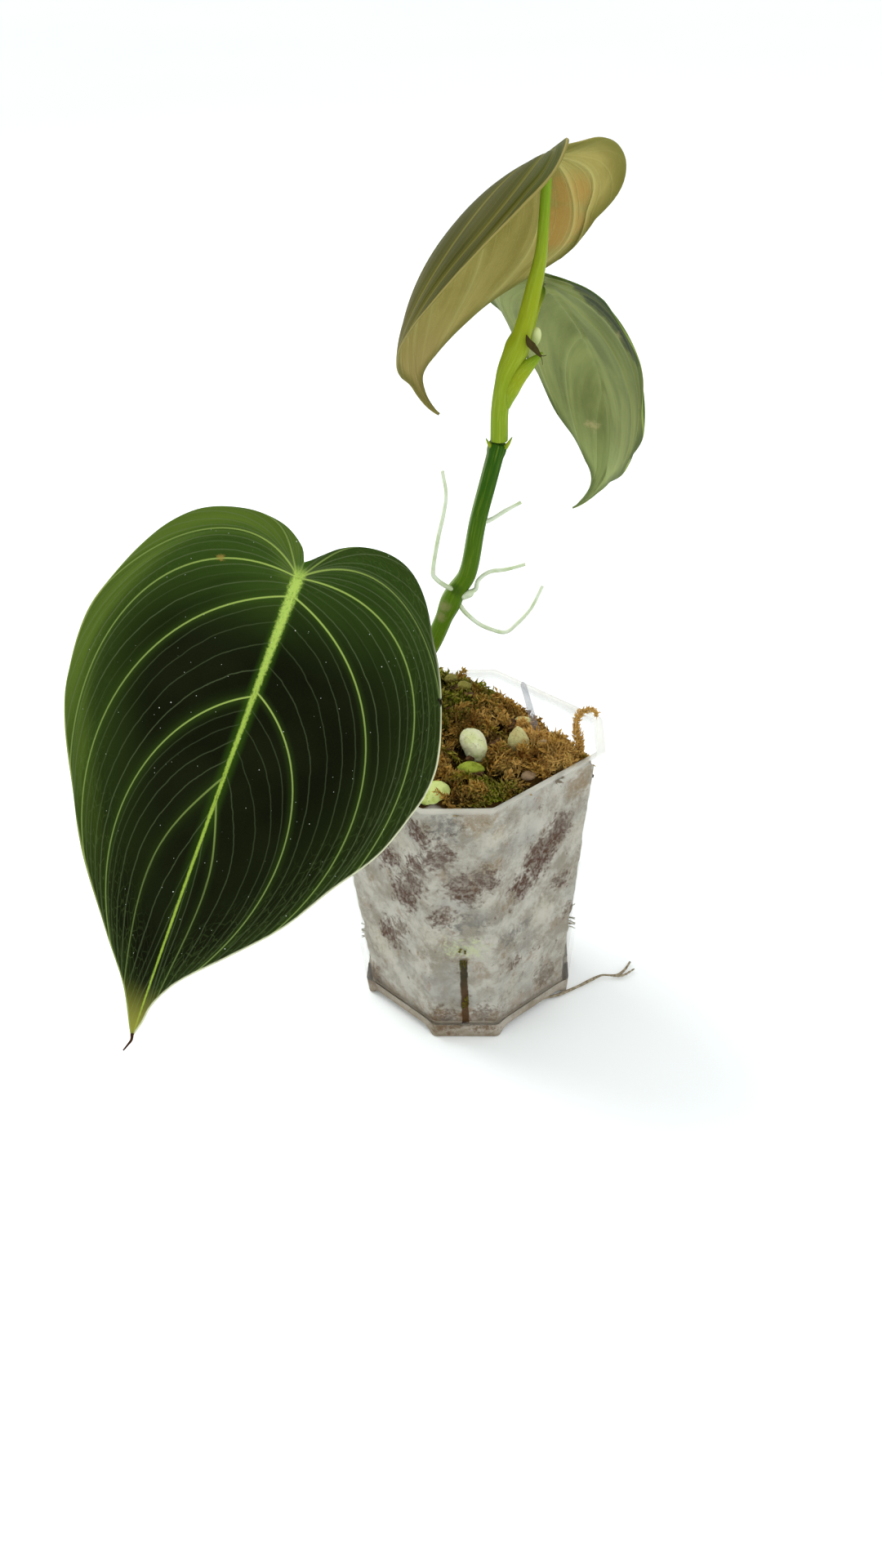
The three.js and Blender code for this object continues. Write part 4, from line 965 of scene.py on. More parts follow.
def pot_ring(half):
    """One level of the pot's outline, of flat facets with rounded edges, and each point's facet and place."""
    cut = POT["edge_radius"] * math.tan(math.radians(22.5))
    points, facet_of, along = [], [], []
    for facet in range(FACETS):
        turn = math.radians(45 * facet)
        corner = facet % 2 == 0
        distance = (half - POT["corner_cut"] / 2) * math.sqrt(2) if corner else half
        reach = POT["corner_cut"] / math.sqrt(2) if corner else half - POT["corner_cut"]
        flat = reach - cut
        if corner:
            low = [flat * share for share in CORNER_COLUMNS] + [-POT["slot_half"]]
            places = low + [0] + [-place for place in reversed(low)]
        else:
            places = list(np.linspace(-flat, flat, SIDE_COLUMNS))
        normal = np.array([math.cos(turn), math.sin(turn)])
        aside = np.array([-math.sin(turn), math.cos(turn)])
        for place in places:
            points.append(normal * distance + aside * place)
            facet_of.append(facet)
            along.append(place)
        centre = normal * (distance - POT["edge_radius"]) + aside * flat
        for step in range(1, EDGE_STEPS):
            angle = turn + math.radians(45) * step / EDGE_STEPS
            points.append(centre + POT["edge_radius"] * np.array([math.cos(angle), math.sin(angle)]))
            facet_of.append(facet)
            along.append(reach)
    return np.array(points), np.array(facet_of), np.array(along)


def arch_height(facet, along):
    """How high the bottom edge stands over the ground, under one of the broad sides."""
    shoulder = np.clip((POT["arch_half"] - np.abs(along)) / POT["arch_shoulder"], 0, 1)
    return np.where(facet % 2 == 1, POT["floor_low"] * (1 - (1 - shoulder) ** 2), 0)


def wall_levels():
    """Heights of the wall's rows of points up to the rim band, with a row at each end of the slots."""
    slot = list(np.linspace(POT["slot_low"], POT["slot_high"], SLOT_LEVELS)[1:])
    above = list(np.linspace(POT["slot_high"], POT["plain_top"], UPPER_LEVELS)[1:])
    return FOOT_LEVELS + slot + above


def pot_wall():
    """The pot's wall from the bottom edge up over the rim and down inside, with its four slots."""
    plain = wall_levels()
    profile = [(0, -POT["foot_bevel"])] + [(z, 0.0) for z in plain[1:]] + BAND_LEVELS
    profile += [(z, -POT["wall"]) for z in reversed(plain[1:])] + [(0, POT["foot_bevel"] - POT["wall"])]
    rows = []
    for z, offset in profile:
        ring, facet, along = pot_ring(pot_half(z) + offset)
        foot = arch_height(facet, along)
        fade = POT["arch_fades_at"]
        height = foot + z * (1 - foot / fade) if z < fade else np.full(len(ring), z)
        rows.append(np.column_stack([ring, height]))
    points = np.array(rows)
    levels, around = points.shape[:2]
    heights = [z for z, offset in profile]
    outer = len(plain)
    slot_edge = POT["slot_half"] + NEARLY
    faces = []
    for i in range(levels - 1):
        low, high = sorted((heights[i], heights[i + 1]))
        plain_wall = i < outer - 1 or i >= levels - outer
        in_slot = plain_wall and low >= POT["slot_low"] - NEARLY and high <= POT["slot_high"] + NEARLY
        for k, n in neighbours(around):
            at_corner = facet[k] % 2 == 0 and facet[n] == facet[k]
            if not (in_slot and at_corner and max(abs(along[k]), abs(along[n])) < slot_edge):
                faces.append(quad(i * around, (i + 1) * around, k, n))
    back = levels - 1
    faces += [quad(back * around, 0, k, n) for k, n in neighbours(around)]
    first = heights.index(POT["slot_low"])
    last = heights.index(POT["slot_high"])
    for k, n in neighbours(around):
        if facet[k] % 2 or abs(along[k]) > slot_edge:
            continue
        for level in (first, last) if facet[n] == facet[k] and abs(along[n]) < slot_edge else ():
            ring = quad(level * around, (back - level) * around, k, n)
            faces.append(ring if level == first else ring[::-1])
        if abs(abs(along[k]) - POT["slot_half"]) < NEARLY:
            for i in range(first, last):
                ring = [i * around + k, (i + 1) * around + k]
                ring += [(back - i - 1) * around + k, (back - i) * around + k]
                faces.append(ring if along[k] > 0 else ring[::-1])
    z = points[..., 2].reshape(-1)
    nominal = np.array(heights)
    outside = np.arange(levels) < outer
    foot = np.where(outside, nominal < POT["band_top_outside"], nominal < POT["band_top_inside"])
    values = {
        "rim": np.clip((z - POT["rim_from"]) / POT["rim_over"], 0, 1),
        "lip": np.clip((z - POT["lip_from"]) / POT["lip_over"], 0, 1),
        "foot": np.repeat(foot, around).astype(float),
        "edge": np.repeat(np.clip(1 - nominal / POT["edge_over"], 0, 1), around),
    }
    return points.reshape(-1, 3), faces, values


def plate_values(points):
    return {key: np.full(len(points), value) for key, value in PLATE_VALUES.items()}


def pot_floor():
    """The floor plate inside the wall, with four drain holes and a round foot in the middle."""
    loops = [pot_ring(pot_half(3) - POT["wall"] + 0.15)[0]]
    for turn in (45, 135, 225, 315):
        centre = POT["drain_reach"] * np.array([math.cos(math.radians(turn)), math.sin(math.radians(turn))])
        loops.append(centre + POT["drain_radius"] * circle(DRAIN_STEPS))
    flat = np.vstack(loops)
    count = len(flat)
    low = np.column_stack([flat, np.full(count, POT["floor_low"])])
    high = np.column_stack([flat, np.full(count, POT["floor_top"])])
    faces = []
    for a, b, c in tessellate_polygon([[Vector((x, y, 0)) for x, y in loop] for loop in loops]):
        area = np.cross(np.append(flat[b] - flat[a], 0), np.append(flat[c] - flat[a], 0))[2]
        ring = [a, b, c] if area > 0 else [a, c, b]
        faces.append([corner + count for corner in ring])
        faces.append(ring[::-1])
    start = 0
    for loop in loops:
        for k, n in neighbours(len(loop)):
            ring = quad(start, count + start, k, n)
            faces.append(ring if start == 0 else ring[::-1])
        start += len(loop)
    points = np.vstack([low, high])
    round_foot = circle(BOSS_STEPS) * POT["boss_radius"]
    boss = [np.column_stack([round_foot * scale, np.full(BOSS_STEPS, z)]) for z, scale in BOSS_LEVELS]
    boss = np.vstack(boss)
    boss_faces = [[a, d, c, b] for a, b, c, d in ring_faces(len(BOSS_LEVELS), BOSS_STEPS)]
    return join_parts([(points, faces, plate_values(points)), (boss, boss_faces, plate_values(boss))])


def pot_material():
    """Frosted clear plastic: a thin milky film, denser at the lip, and an opaque band at the foot and on the
    floor plate, coloured like the fill and browner towards the bottom edge.
    """
    graph = Graph("frosted_pot")
    rim, foot = graph.value("rim"), graph.value("foot")
    haze = graph.noise(0.07, 3, 0.6)
    scuff = graph.noise(1.3, 4, 0.7, graph.stretched(1.0, 1.0, 0.25))
    # The foot band takes the fill's colours and turns browner towards the bottom edge.
    foot_band_colour = graph.mix(graph.value("edge") * 0.25 + 0.4, crumb_colour(graph), (116, 92, 60))
    clean = graph.mix(haze, (188, 184, 170), (204, 200, 188))
    colour = graph.over(clean, (rim, (214, 212, 200)), (foot, foot_band_colour))
    film = graph.smooth(haze, 0.35, 0.7) * 0.08 + 0.03 + rim * 0.08 + graph.value("lip") * 0.4
    alpha = graph.math("MAXIMUM", foot * 0.94, film) + graph.smooth(scuff, 0.62, 0.75) * 0.05
    graph.put(graph.shader["Alpha"], alpha)
    return graph.finish(colour, haze * 0.2 + 0.3, graph.bump(scuff, 0.05), 0.15)


def build_pot():
    made = make_object("square_pot", join_parts([pot_wall(), pot_floor()]), [pot_material()])
    made.data.set_sharp_from_angle(angle=math.radians(50))
    piece(made, "pot_plastic", "pot")


# Moss, bark and pumice

MOSS = {"rim_height": 80.4, "mound": 5.8, "mound_at": (-6.9, 8.8), "mound_spread": 14.3, "dip_slope": 0.5,
        "dip_heading": (1.2, 0.8), "dip_from": 17, "dip_turn": 2.2, "dip_front": -14, "dip_eases_over": 12,
        "bed_below": 1.6, "side_top": 78.6, "gap_below": 0.1, "gap_beside": 0.12, "side_rough_over": 7,
        "top_rough_over": 0.125, "middle_ring": 0.02}
SIDE_ROWS = 90
TOP_ROWS = 46
PATH_POINTS = 9
SLOT_FILL_TOP = 28


def moss_height(x, y):
    """The mean top of the fill: a mound at the back left, and a slope down to the back right wall."""
    dx, dy = x - MOSS["mound_at"][0], y - MOSS["mound_at"][1]
    mound = MOSS["mound"] * np.exp(-(dx * dx + dy * dy) / (2 * MOSS["mound_spread"] ** 2))
    across, back = MOSS["dip_heading"]
    backward = across * x + back * y - MOSS["dip_from"]
    dip = MOSS["dip_slope"] * MOSS["dip_turn"] * np.logaddexp(0, backward / MOSS["dip_turn"])
    dip = dip * np.clip((y - MOSS["dip_front"]) / MOSS["dip_eases_over"], 0, 1)
    lumps = 0.9 * np.sin(0.55 * x + 1.3) * np.cos(0.48 * y - 0.4) + 0.6 * np.sin(0.9 * x - 0.7 * y + 2)
    return MOSS["rim_height"] + mound - dip + lumps


def lattice_noise(points, size, seed):
    """Smooth random values of -1 to 1 in space, with features of about the given size in millimetres."""
    table = np.random.default_rng(seed).uniform(-1, 1, 4096)
    place = np.asarray(points) / size
    cell = np.floor(place).astype(np.int64)
    t = place - cell
    t = t * t * (3 - 2 * t)
    total = 0
    for corner in range(8):
        shift = np.array([corner & 1, corner >> 1 & 1, corner >> 2 & 1])
        index = ((cell + shift) * np.array([73856093, 19349663, 83492791])).sum(-1) % 4096
        weight = np.where(shift, t, 1 - t).prod(-1)
        total = total + weight * table[index]
    return total


def bed_mesh():
    """The body of the fill: uneven sides just inside the wall, and a rough top."""
    low = POT["floor_top"] + MOSS["gap_below"]
    inset = POT["wall"] + MOSS["gap_beside"]
    foot_ring = pot_ring(pot_half(0) - inset)[0]
    rim_ring = pot_ring(pot_half(POT["height"]) - inset)[0]
    highest = np.minimum(MOSS["side_top"], moss_height(rim_ring[:, 0], rim_ring[:, 1]) - MOSS["bed_below"])
    rows = []
    for share in np.linspace(0, 1, SIDE_ROWS):
        z = low + (highest - low) * share
        ring = foot_ring + (rim_ring - foot_ring) * (z / POT["height"])[:, None]
        rows.append(np.column_stack([ring, z]))
    side = np.array(rows)
    inward = -side[..., :2] / np.linalg.norm(side[..., :2], axis=-1, keepdims=True)
    depth = 0.2 + 0.5 * lattice_noise(side, 6, 3) + 0.35 * lattice_noise(side, 2.2, 4)
    depth = np.clip(depth, 0, 2) * np.clip((side[..., 2] - low) / MOSS["side_rough_over"], 0, 1)
    side[..., :2] += inward * depth[..., None]
    rim = side[-1, :, :2]
    top = []
    for scale in np.linspace(1, MOSS["middle_ring"], TOP_ROWS)[1:]:
        x, y = rim[:, 0] * scale, rim[:, 1] * scale
        flat = np.column_stack([x, y, np.full(len(x), POT["height"])])
        rough = 0.7 * lattice_noise(flat, 3, 5) + 0.35 * lattice_noise(flat, 1.3, 6)
        deep = clump(x, y) * min(1, (1 - scale) / MOSS["top_rough_over"])
        top.append(np.column_stack([x, y, moss_height(x, y) - MOSS["bed_below"] + rough + deep]))
    points = np.vstack([side, np.array(top)])
    levels, around = points.shape[:2]
    faces = ring_faces(levels, around)
    faces.append([(levels - 1) * around + k for k in range(around)])
    faces.append(list(reversed(range(around))))
    top_values = np.repeat(np.arange(levels) >= len(rows), around).astype(float)
    return points.reshape(-1, 3), faces, {"top": top_values}


# Moss strands and their leaflets: a leaflet's measures are shares of its length, its lean is in degrees, and
# its turn from the last one is in radians
SPRIG = {"sides": 3, "taper": 0.6, "lean": 60, "lean_varies": 18, "shrinks": 0.5, "sizes": (0.7, 1.2),
         "bends_ahead": 0.25, "half_width": 0.24, "fold": 0.12, "turn": 2.4, "tone_varies": 0.1}


def sprigs(paths, tones, depths, leaflets, length, seed, thickness):
    """Moss strands along paths, an array of strands by points by 3, each with small leaflets all round."""
    random = np.random.default_rng(seed)
    count, steps = paths.shape[:2]
    forward = np.gradient(paths, axis=1)
    forward /= np.linalg.norm(forward, axis=2, keepdims=True) + 1e-9
    side = np.cross(forward, [0.12, 0.08, 0.99])
    side /= np.linalg.norm(side, axis=2, keepdims=True) + 1e-9
    up = np.cross(side, forward)
    around = SPRIG["sides"]
    angle = np.arange(around) * 2 * np.pi / around
    size = thickness * (1 - SPRIG["taper"] * np.linspace(0, 1, steps))
    stems = paths[:, :, None] + size[None, :, None, None] * (
        np.cos(angle)[:, None] * side[:, :, None] + np.sin(angle)[:, None] * up[:, :, None])
    stem_points = stems.reshape(-1, 3)
    base = np.arange(count)[:, None, None] * steps * around
    i = np.arange(steps - 1)[None, :, None] * around
    k = np.arange(around)[None, None, :]
    n = (k + 1) % around
    low_ring, high_ring = base + i, base + i + around
    quads = np.stack([low_ring + k, low_ring + n, high_ring + n, high_ring + k], -1).reshape(-1, 4)
    tone = [np.repeat(tones, steps * around)]
    depth = [np.repeat(depths, steps * around)]
    tip = [np.tile(np.repeat(np.linspace(0, 1, steps), around), count) * 0.6]
    place = (np.arange(leaflets) + 0.5) / leaflets * (steps - 1.001)
    low = place.astype(int)
    share = (place - low)[None, :, None]

    def between(values):
        return values[:, low] * (1 - share) + values[:, low + 1] * share

    foot, ahead, aside, above = (between(values) for values in (paths, forward, side, up))
    turn = SPRIG["turn"] * np.arange(leaflets)[None, :] + random.uniform(0, 6.3, (count, 1))
    outward = np.cos(turn)[..., None] * aside + np.sin(turn)[..., None] * above
    varies = SPRIG["lean_varies"]
    lean = np.radians(SPRIG["lean"] + random.uniform(-varies, varies, (count, leaflets)))[..., None]
    grow = length * (1 - SPRIG["shrinks"] * np.linspace(0, 1, leaflets))
    grow = (grow * random.uniform(*SPRIG["sizes"], (count, leaflets)))[..., None]
    heading = np.sin(lean) * outward + np.cos(lean) * ahead
    across = np.cross(outward, ahead)
    tips = foot + heading * grow + ahead * grow * SPRIG["bends_ahead"]
    middle = foot + heading * grow * 0.5
    fold = outward * grow * SPRIG["fold"]
    half_width = across * grow * SPRIG["half_width"]
    left, right = middle + half_width + fold, middle - half_width + fold
    leaf_points = np.stack([foot, left, tips, right], 2).reshape(-1, 3)
    start = len(stem_points) + 4 * np.arange(count * leaflets)[:, None]
    triangles = np.vstack([start + [0, 1, 2], start + [0, 2, 3]])
    varies = SPRIG["tone_varies"]
    tone.append(np.repeat(tones + random.uniform(-varies, varies, count), 4 * leaflets))
    depth.append(np.repeat(depths, 4 * leaflets))
    tip.append(np.tile([0.3, 0.7, 1.0, 0.7], count * leaflets))
    values = {"tone": np.concatenate(tone), "depth": np.concatenate(depth), "tip": np.concatenate(tip)}
    return np.vstack([stem_points, leaf_points]), quads.tolist() + triangles.tolist(), values


def inside_rim(x, y, margin):
    """Whether a place on the fill's top lies at least the margin inside the pot's outer face."""
    half = pot_half(np.minimum(POT["height"], moss_height(x, y))) - margin
    corner = (half - POT["corner_cut"] / 2) * math.sqrt(2)
    broad = np.maximum(np.abs(x + y), np.abs(x - y)) / math.sqrt(2)
    return (broad < half) & (np.maximum(np.abs(x), np.abs(y)) < corner)


def clump(x, y):
    """How far the loose moss rises or sinks in tufts about its mean surface."""
    flat = np.stack([x, y, 0 * x], -1)
    return 2.1 * lattice_noise(flat, 6, 12) + 1.2 * lattice_noise(flat, 3.2, 13)


def clear_of_lumps(x, y):
    """Whether a strand passes beside every grain."""
    room = STRAND["beside_grain"]
    return all((np.hypot((x - at[0]) / (size[0] + room), (y - at[1]) / (size[1] + room)) > 0.95).all()
               for at, size, turn, slot, look in LUMPS)


# How strands may lie: where they start, how far inside the wall, how much they bend, and their sizes
STRAND = {"field": 38, "starts_inside": 2.0, "stays_inside": 1.7, "beside_grain": 0.4, "bend": 2.4,
          "sizes": (0.5, 1.3), "rises": (0.1, 1.0), "arches": (0.5, 1.1), "tip_lifts": (-0.5, 0.8)}


def moss_paths(count, seed, length, rise, band):
    """Strands laid over the fill's top, no further than band from the wall, as strands by points by 3."""
    random = np.random.default_rng(seed)
    kept = []
    t = np.linspace(0, 1, PATH_POINTS)
    while len(kept) < count:
        x, y = random.uniform(-STRAND["field"], STRAND["field"], 2)
        if not inside_rim(x, y, STRAND["starts_inside"]) or inside_rim(x, y, band):
            continue
        bend = random.uniform(-STRAND["bend"], STRAND["bend"])
        reach = length * random.uniform(*STRAND["sizes"])
        angle = random.uniform(0, 2 * np.pi) + bend * t
        step = reach / (PATH_POINTS - 1)
        px = x + np.concatenate([[0], np.cumsum(np.cos(angle[:-1]))]) * step
        py = y + np.concatenate([[0], np.cumsum(np.sin(angle[:-1]))]) * step
        if not inside_rim(px, py, STRAND["stays_inside"]).all() or not clear_of_lumps(px, py):
            continue
        lift = rise * random.uniform(*STRAND["rises"])
        arch = np.sin(np.pi * np.clip(t * random.uniform(*STRAND["arches"]), 0, 1))
        bed = moss_height(px, py) + clump(px, py) - MOSS["bed_below"]
        z = bed + lift * arch + random.uniform(*STRAND["tip_lifts"]) * t
        kept.append(np.column_stack([px, py, z]))
    return np.array(kept)


def moss_tones(paths, seed):
    """For each strand, 0 golden to 1 green, and 0 deep in a gap to 1 on top of a tuft."""
    random = np.random.default_rng(seed)
    middle = paths[:, PATH_POINTS // 2]

    def green_spot(x, y, spread):
        return np.exp(-((middle[:, 0] - x) ** 2 + (middle[:, 1] - y) ** 2) / spread)

    mound, front, left = green_spot(-5, 14, 220), green_spot(8.5, -28.5, 60), green_spot(2, -17, 16)
    patch = lattice_noise(middle, 7, 11)
    tone = 0.05 + 1.0 * mound + 1.0 * front + 0.6 * left + 0.45 * patch + random.normal(0, 0.2, len(paths))
    above = middle[:, 2] - moss_height(middle[:, 0], middle[:, 1]) + MOSS["bed_below"]
    above = above + random.normal(0, 0.9, len(paths))
    return np.clip(tone, 0, 1), np.clip((above + 2.2) / 5.5, 0, 1)


# Painted shade, painted highlights and painted shadows in gaps on the moss: place and size
MOSS_SHADED = [((-1, -4, 86), 5.5), ((-7, -2, 86), 5.0), ((-10, -12, 83), 5.0)]
MOSS_HIGHLIGHTS = [((22, -4, 80), 8.0), ((16.5, 1.4, 82), 5.0), ((8, 2, 84), 3.0), ((13, -20, 80), 3.5),
             ((12, -9, 82), 3.0), ((25, -14, 79), 5.0), ((31, -6, 86), 7.0), ((34, -3, 88), 5.0)]
MOSS_GAP_SHADOWS = [((-2, -26.4, 80), 2.4), ((-1, -31.7, 79), 2.0), ((6.4, -22, 80), 1.6), ((18.4, -14.5, 80), 2.4),
             ((-4, -8, 82), 2.6), ((10, -6, 81), 1.6), ((22, -13, 80), 1.4), ((8.6, -15, 81), 1.8),
             ((-11, -20, 80), 1.8), ((12, -25, 79), 1.6), ((19, 3, 80), 1.4), ((-16, -6, 82), 2.0)]


def moss_material():
    graph = Graph("sphagnum")
    tone, tip, depth = graph.value("tone"), graph.value("tip"), graph.value("depth")
    grain = graph.smooth(graph.noise(0.7, 4, 0.7), 0.35, 0.65)
    gold = graph.mix(grain, (98, 62, 12), (196, 154, 74))
    green = graph.mix(grain, (48, 60, 2), (124, 134, 24))
    amber = graph.smooth(graph.noise(0.2, 3), 0.53, 0.66)
    ragged = graph.around_zero(0.4, 2.5, 4.0, 0.7)
    colour = graph.over(
        graph.mix(graph.smooth(tone, 0.35, 0.7), gold, green),
        (graph.smooth(tip, 0.55, 1.0) * 0.45, (212, 182, 106)),
        (amber * 0.55, (108, 58, 10)),
        # Painted shade over the left of the moss.
        (graph.near(MOSS_SHADED, ragged, 4.0) * 0.5, (52, 42, 2)),
        # Painted highlights: pale golden patches on the top strands, also on the strand over the rim.
        (graph.near(MOSS_HIGHLIGHTS, ragged, 2.0) * (depth * 0.8), (216, 178, 104)),
        # Painted shade: strands that lie deep between tufts are darkened, and the listed gaps are darker
        # still.
        (graph.smooth(depth, 0.7, 0.3), (26, 14, 2)),
        (graph.near(MOSS_GAP_SHADOWS, ragged, 1.2) * 0.75, (36, 22, 6)),
    )
    return graph.finish(colour, 0.8, shine=0.04, soft=(0.1, (1, 1, 0.5)))


# Stains and pale lumps of the fill that show through the wall: place and size in each colour
FILL_SPOTS = [
    ((134, 108, 66), 0.7, [((5.1, -36.7, 76), 5.0), ((31.9, -13.1, 72), 4.4), ((9, -34, 60), 3.0)]),
    ((202, 198, 180), 0.6, [((9.8, -34.8, 69), 4.0), ((21.8, -19.2, 35), 4.6), ((5.6, -33.6, 47), 2.8),
                            ((-24, -16, 22), 6.0), ((14, -26, 14), 4.4), ((-14, -26, 66), 4.5),
                            ((30, -11, 58), 3.5), ((-8, -28, 36), 3.4)]),
    ((70, 32, 8), 1.0, [((21.7, -21.4, 56), 5.6), ((26, -16, 61), 4.4), ((16.8, -25.7, 48.8), 4.2),
                        ((20, -22, 52), 3.6), ((0.9, -34.3, 53), 5.4), ((6, -33, 56), 3.6),
                        ((-6.1, -35.5, 63), 4.8), ((-10, -32, 70), 3.2), ((-16.6, -25.5, 46.2), 5.0),
                        ((-13, -28, 52), 4.0), ((-20, -22, 57), 4.2), ((-21.5, -18.7, 28.2), 4.4),
                        ((-5.2, -33.4, 43), 3.6), ((26.9, -14.9, 42.8), 2.6), ((-11, -30, 59), 3.2)]),
    ((84, 58, 34), 0.85, [((23.2, -15.1, 10.3), 3.8), ((-5.5, -29.1, 6.1), 4.4), ((5.5, -29.1, 6.5), 3.8),
                          ((-17, -22, 33), 2.6), ((-27, -9, 6), 3.4), ((30, -10, 30), 2.6),
                          ((14, -25, 22), 2.2)]),
    ((94, 92, 90), 0.75, [((3.1, -32.9, 41.6), 3.4), ((-1, -32.6, 40), 2.6), ((13.2, -27.4, 32.7), 2.8),
                          ((17.6, -23.4, 34), 2.2), ((-3, -35.8, 74), 3.6)]),
    ((196, 204, 160), 0.9, [((3.4, -31.8, 31.6), 2.8), ((-2, -31.4, 32), 2.2)]),
]


def crumb_colour(graph):
    """Pale crumbs of the fill against the wall, with ragged brown stains."""
    soft = graph.noise(0.1, 7, 0.72)
    cool = graph.noise(0.06, 4, 0.6, graph.stretched(1.0, -1.0, 1.0))
    tan = graph.noise(0.16, 7, 0.75, graph.stretched(1.0, 1.0, -0.8))
    brown = graph.noise(0.3, 8, 0.8, graph.stretched(-1.0, 1.0, 1.0))
    ragged = graph.around_zero(0.55, 5.0, 8.0, 0.75)
    patchy = graph.smooth(graph.noise(0.7, 6, 0.75), 0.4, 0.55) * 0.5 + 0.5
    return graph.over(
        graph.mix(graph.smooth(soft, 0.38, 0.62), (146, 140, 124), (198, 195, 184)),
        (graph.smooth(cool, 0.5, 0.66) * 0.4, (140, 140, 138)),
        (graph.smooth(tan, 0.55, 0.64) * 0.5, (134, 104, 66)),
        (graph.smooth(brown, 0.58, 0.64) * 0.75, (84, 50, 24)),
        *((graph.near(spots, ragged, 1.6) * patchy * amount, colour) for colour, amount, spots in FILL_SPOTS),
    )


def bed_material():
    """The fill: what shows of it through the wall, with dark soil in the slots and under the moss, and a pale
    band of painted light at its bottom.
    """
    graph = Graph("fill_behind_wall")
    x, y, z = (graph.node("ShaderNodeSeparateXYZ", axis, {0: graph.place()}) for axis in range(3))
    aside = graph.math("MINIMUM", abs(x), abs(y))
    line = graph.smooth(aside + graph.around_zero(0.5, 0.25), 1.25, 0.8)
    line = line * graph.smooth(z, SLOT_FILL_TOP + 1.5, SLOT_FILL_TOP - 1.5)
    height = z + graph.around_zero(0.3, 5.0)
    in_slot = graph.over(
        graph.mix(graph.smooth(z, 22.0, 14.0), (26, 28, 16), (74, 44, 22)),
        (graph.noise(0.5, 4) * 0.4, (104, 88, 52)),
    )
    rough = graph.noise(1.1, 4, 0.7)
    soil = graph.mix(rough, (26, 18, 6), (80, 56, 20))
    colour = graph.over(
        crumb_colour(graph),
        (graph.smooth(height, 9.0, 4.0) * 0.5, (132, 104, 70)),
        # Painted light: the lowest crumbs are made pale to lift the shadow that the pot's opaque foot band
        # casts on them.
        (graph.smooth(z, 4.7, 4.1) * 0.8, (236, 222, 196)),
        (line * 0.95, in_slot),
        (graph.value("top"), soil),
    )
    return graph.finish(colour, 0.85, graph.bump(rough, 0.6), 0.05)


def solid(fill, **settings):
    """Points and faces of a plain solid that the fill function makes."""
    mesh = bmesh.new()
    fill(mesh, **settings)
    points = np.array([vertex.co for vertex in mesh.verts])
    faces = [[vertex.index for vertex in face.verts] for face in mesh.faces]
    mesh.free()
    return points, faces


def lump_mesh(at, size, turn, number):
    """A rounded, pitted grain."""
    ball, faces = solid(bmesh.ops.create_icosphere, subdivisions=5, radius=1)
    x, y, z = ball.T
    bump = 1 + 0.09 * np.sin(3.1 * x + number) * np.cos(2.7 * y - number) + 0.06 * np.sin(4.3 * z)
    rough = 1 + 0.06 * lattice_noise(ball + number, 0.45, 21) + 0.03 * lattice_noise(ball + number, 0.17, 22)
    rough -= 0.05 * np.clip(lattice_noise(ball - number, 0.2, 23) - 0.35, 0, 1)
    points = ball * (bump * rough)[:, None] * np.array(size)
    return points @ turned("Z", math.radians(turn)).T + np.array(at), faces, {}


# Grains on the moss: place, half sizes, turn, slot and look
LUMPS = [
    ((3.7, -12, 84), (5.4, 3, 4.2), -68, "pumice", "cream"),
    ((15, -9.8, 83), (2.7, 2.8, 4.4), 10, "pumice", "stained"),
    ((3.1, -20, 81.6), (3.2, 2.2, 1.7), -8, "pumice_green", "algae"),
    ((-6.4, -29.6, 80.2), (4.3, 4, 2.9), 35, "pumice", "lime"),
    ((21.4, -6.6, 80.6), (1.6, 1.4, 1.3), 0, "bark_chip", "tan"),
    ((17.4, -21.4, 80.2), (1.9, 1.4, 1.1), 20, "bark_chip", "lilac"),
    ((8.5, -27.4, 79.8), (2.1, 1.5, 1.3), -30, "pumice_green", "algae"),
    ((-3.2, 19, 86.6), (1.9, 1.6, 1.5), 0, "pumice", "mossy"),
    ((0.6, 13.6, 87.2), (1.8, 1.9, 1.5), 30, "pumice", "mossy"),
    ((16.2, 8.2, 79.2), (2.2, 1.8, 1.3), 15, "pumice", "stained"),
    ((-22, -9, 82.4), (3.4, 2.6, 2.4), 60, "pumice", "cream"),
    ((-17, 19, 82.8), (3, 2.2, 2), -20, "pumice", "cream"),
]


def grain_material(name, pale, stain, stain_amount):
    graph = Graph(name)
    blotch = graph.noise(0.35, 4, 0.6)
    distance, = graph.cells(1.3, "Distance")
    pit = graph.smooth(distance, 0.22, 0.08)
    fine = graph.noise(2.4, 4, 0.7)
    colour = graph.over(
        pale,
        (graph.smooth(blotch, 0.42, 0.66) * stain_amount, stain),
        (graph.smooth(fine, 0.6, 0.8) * 0.3, (150, 140, 104)),
        (pit * 0.45, (120, 108, 76)),
    )
    return graph.finish(colour, 0.85, graph.bump(fine - pit, 0.3), 0.1, (0.1, (1, 1, 0.8)))


def bark_material():
    graph = Graph("bark")
    layers = graph.noise(0.6, 4, 0.65, graph.stretched(1.0, 2.4, 2.4))
    colour = graph.mix(graph.smooth(layers, 0.35, 0.7), (52, 34, 18), (122, 90, 58))
    return graph.finish(colour, 0.8, graph.bump(layers, 0.5), 0.08)


# Bark chips: where they may lie, half sizes from least to most, tilts in radians, and how broken they are
CHIP = {"field": 34, "inside_wall": 5.5, "least": (1.8, 1.0, 0.4), "most": (3.6, 2.0, 0.9),
        "tilts": (0.5, 0.4), "heights": (-0.9, 0.4), "broken": 0.22, "broken_size": 0.6}


def divided_box(mesh):
    """A cube with a grid of smaller faces on each side."""
    bmesh.ops.create_cube(mesh, size=2)
    bmesh.ops.subdivide_edges(mesh, edges=mesh.edges[:], cuts=3, use_grid_fill=True)


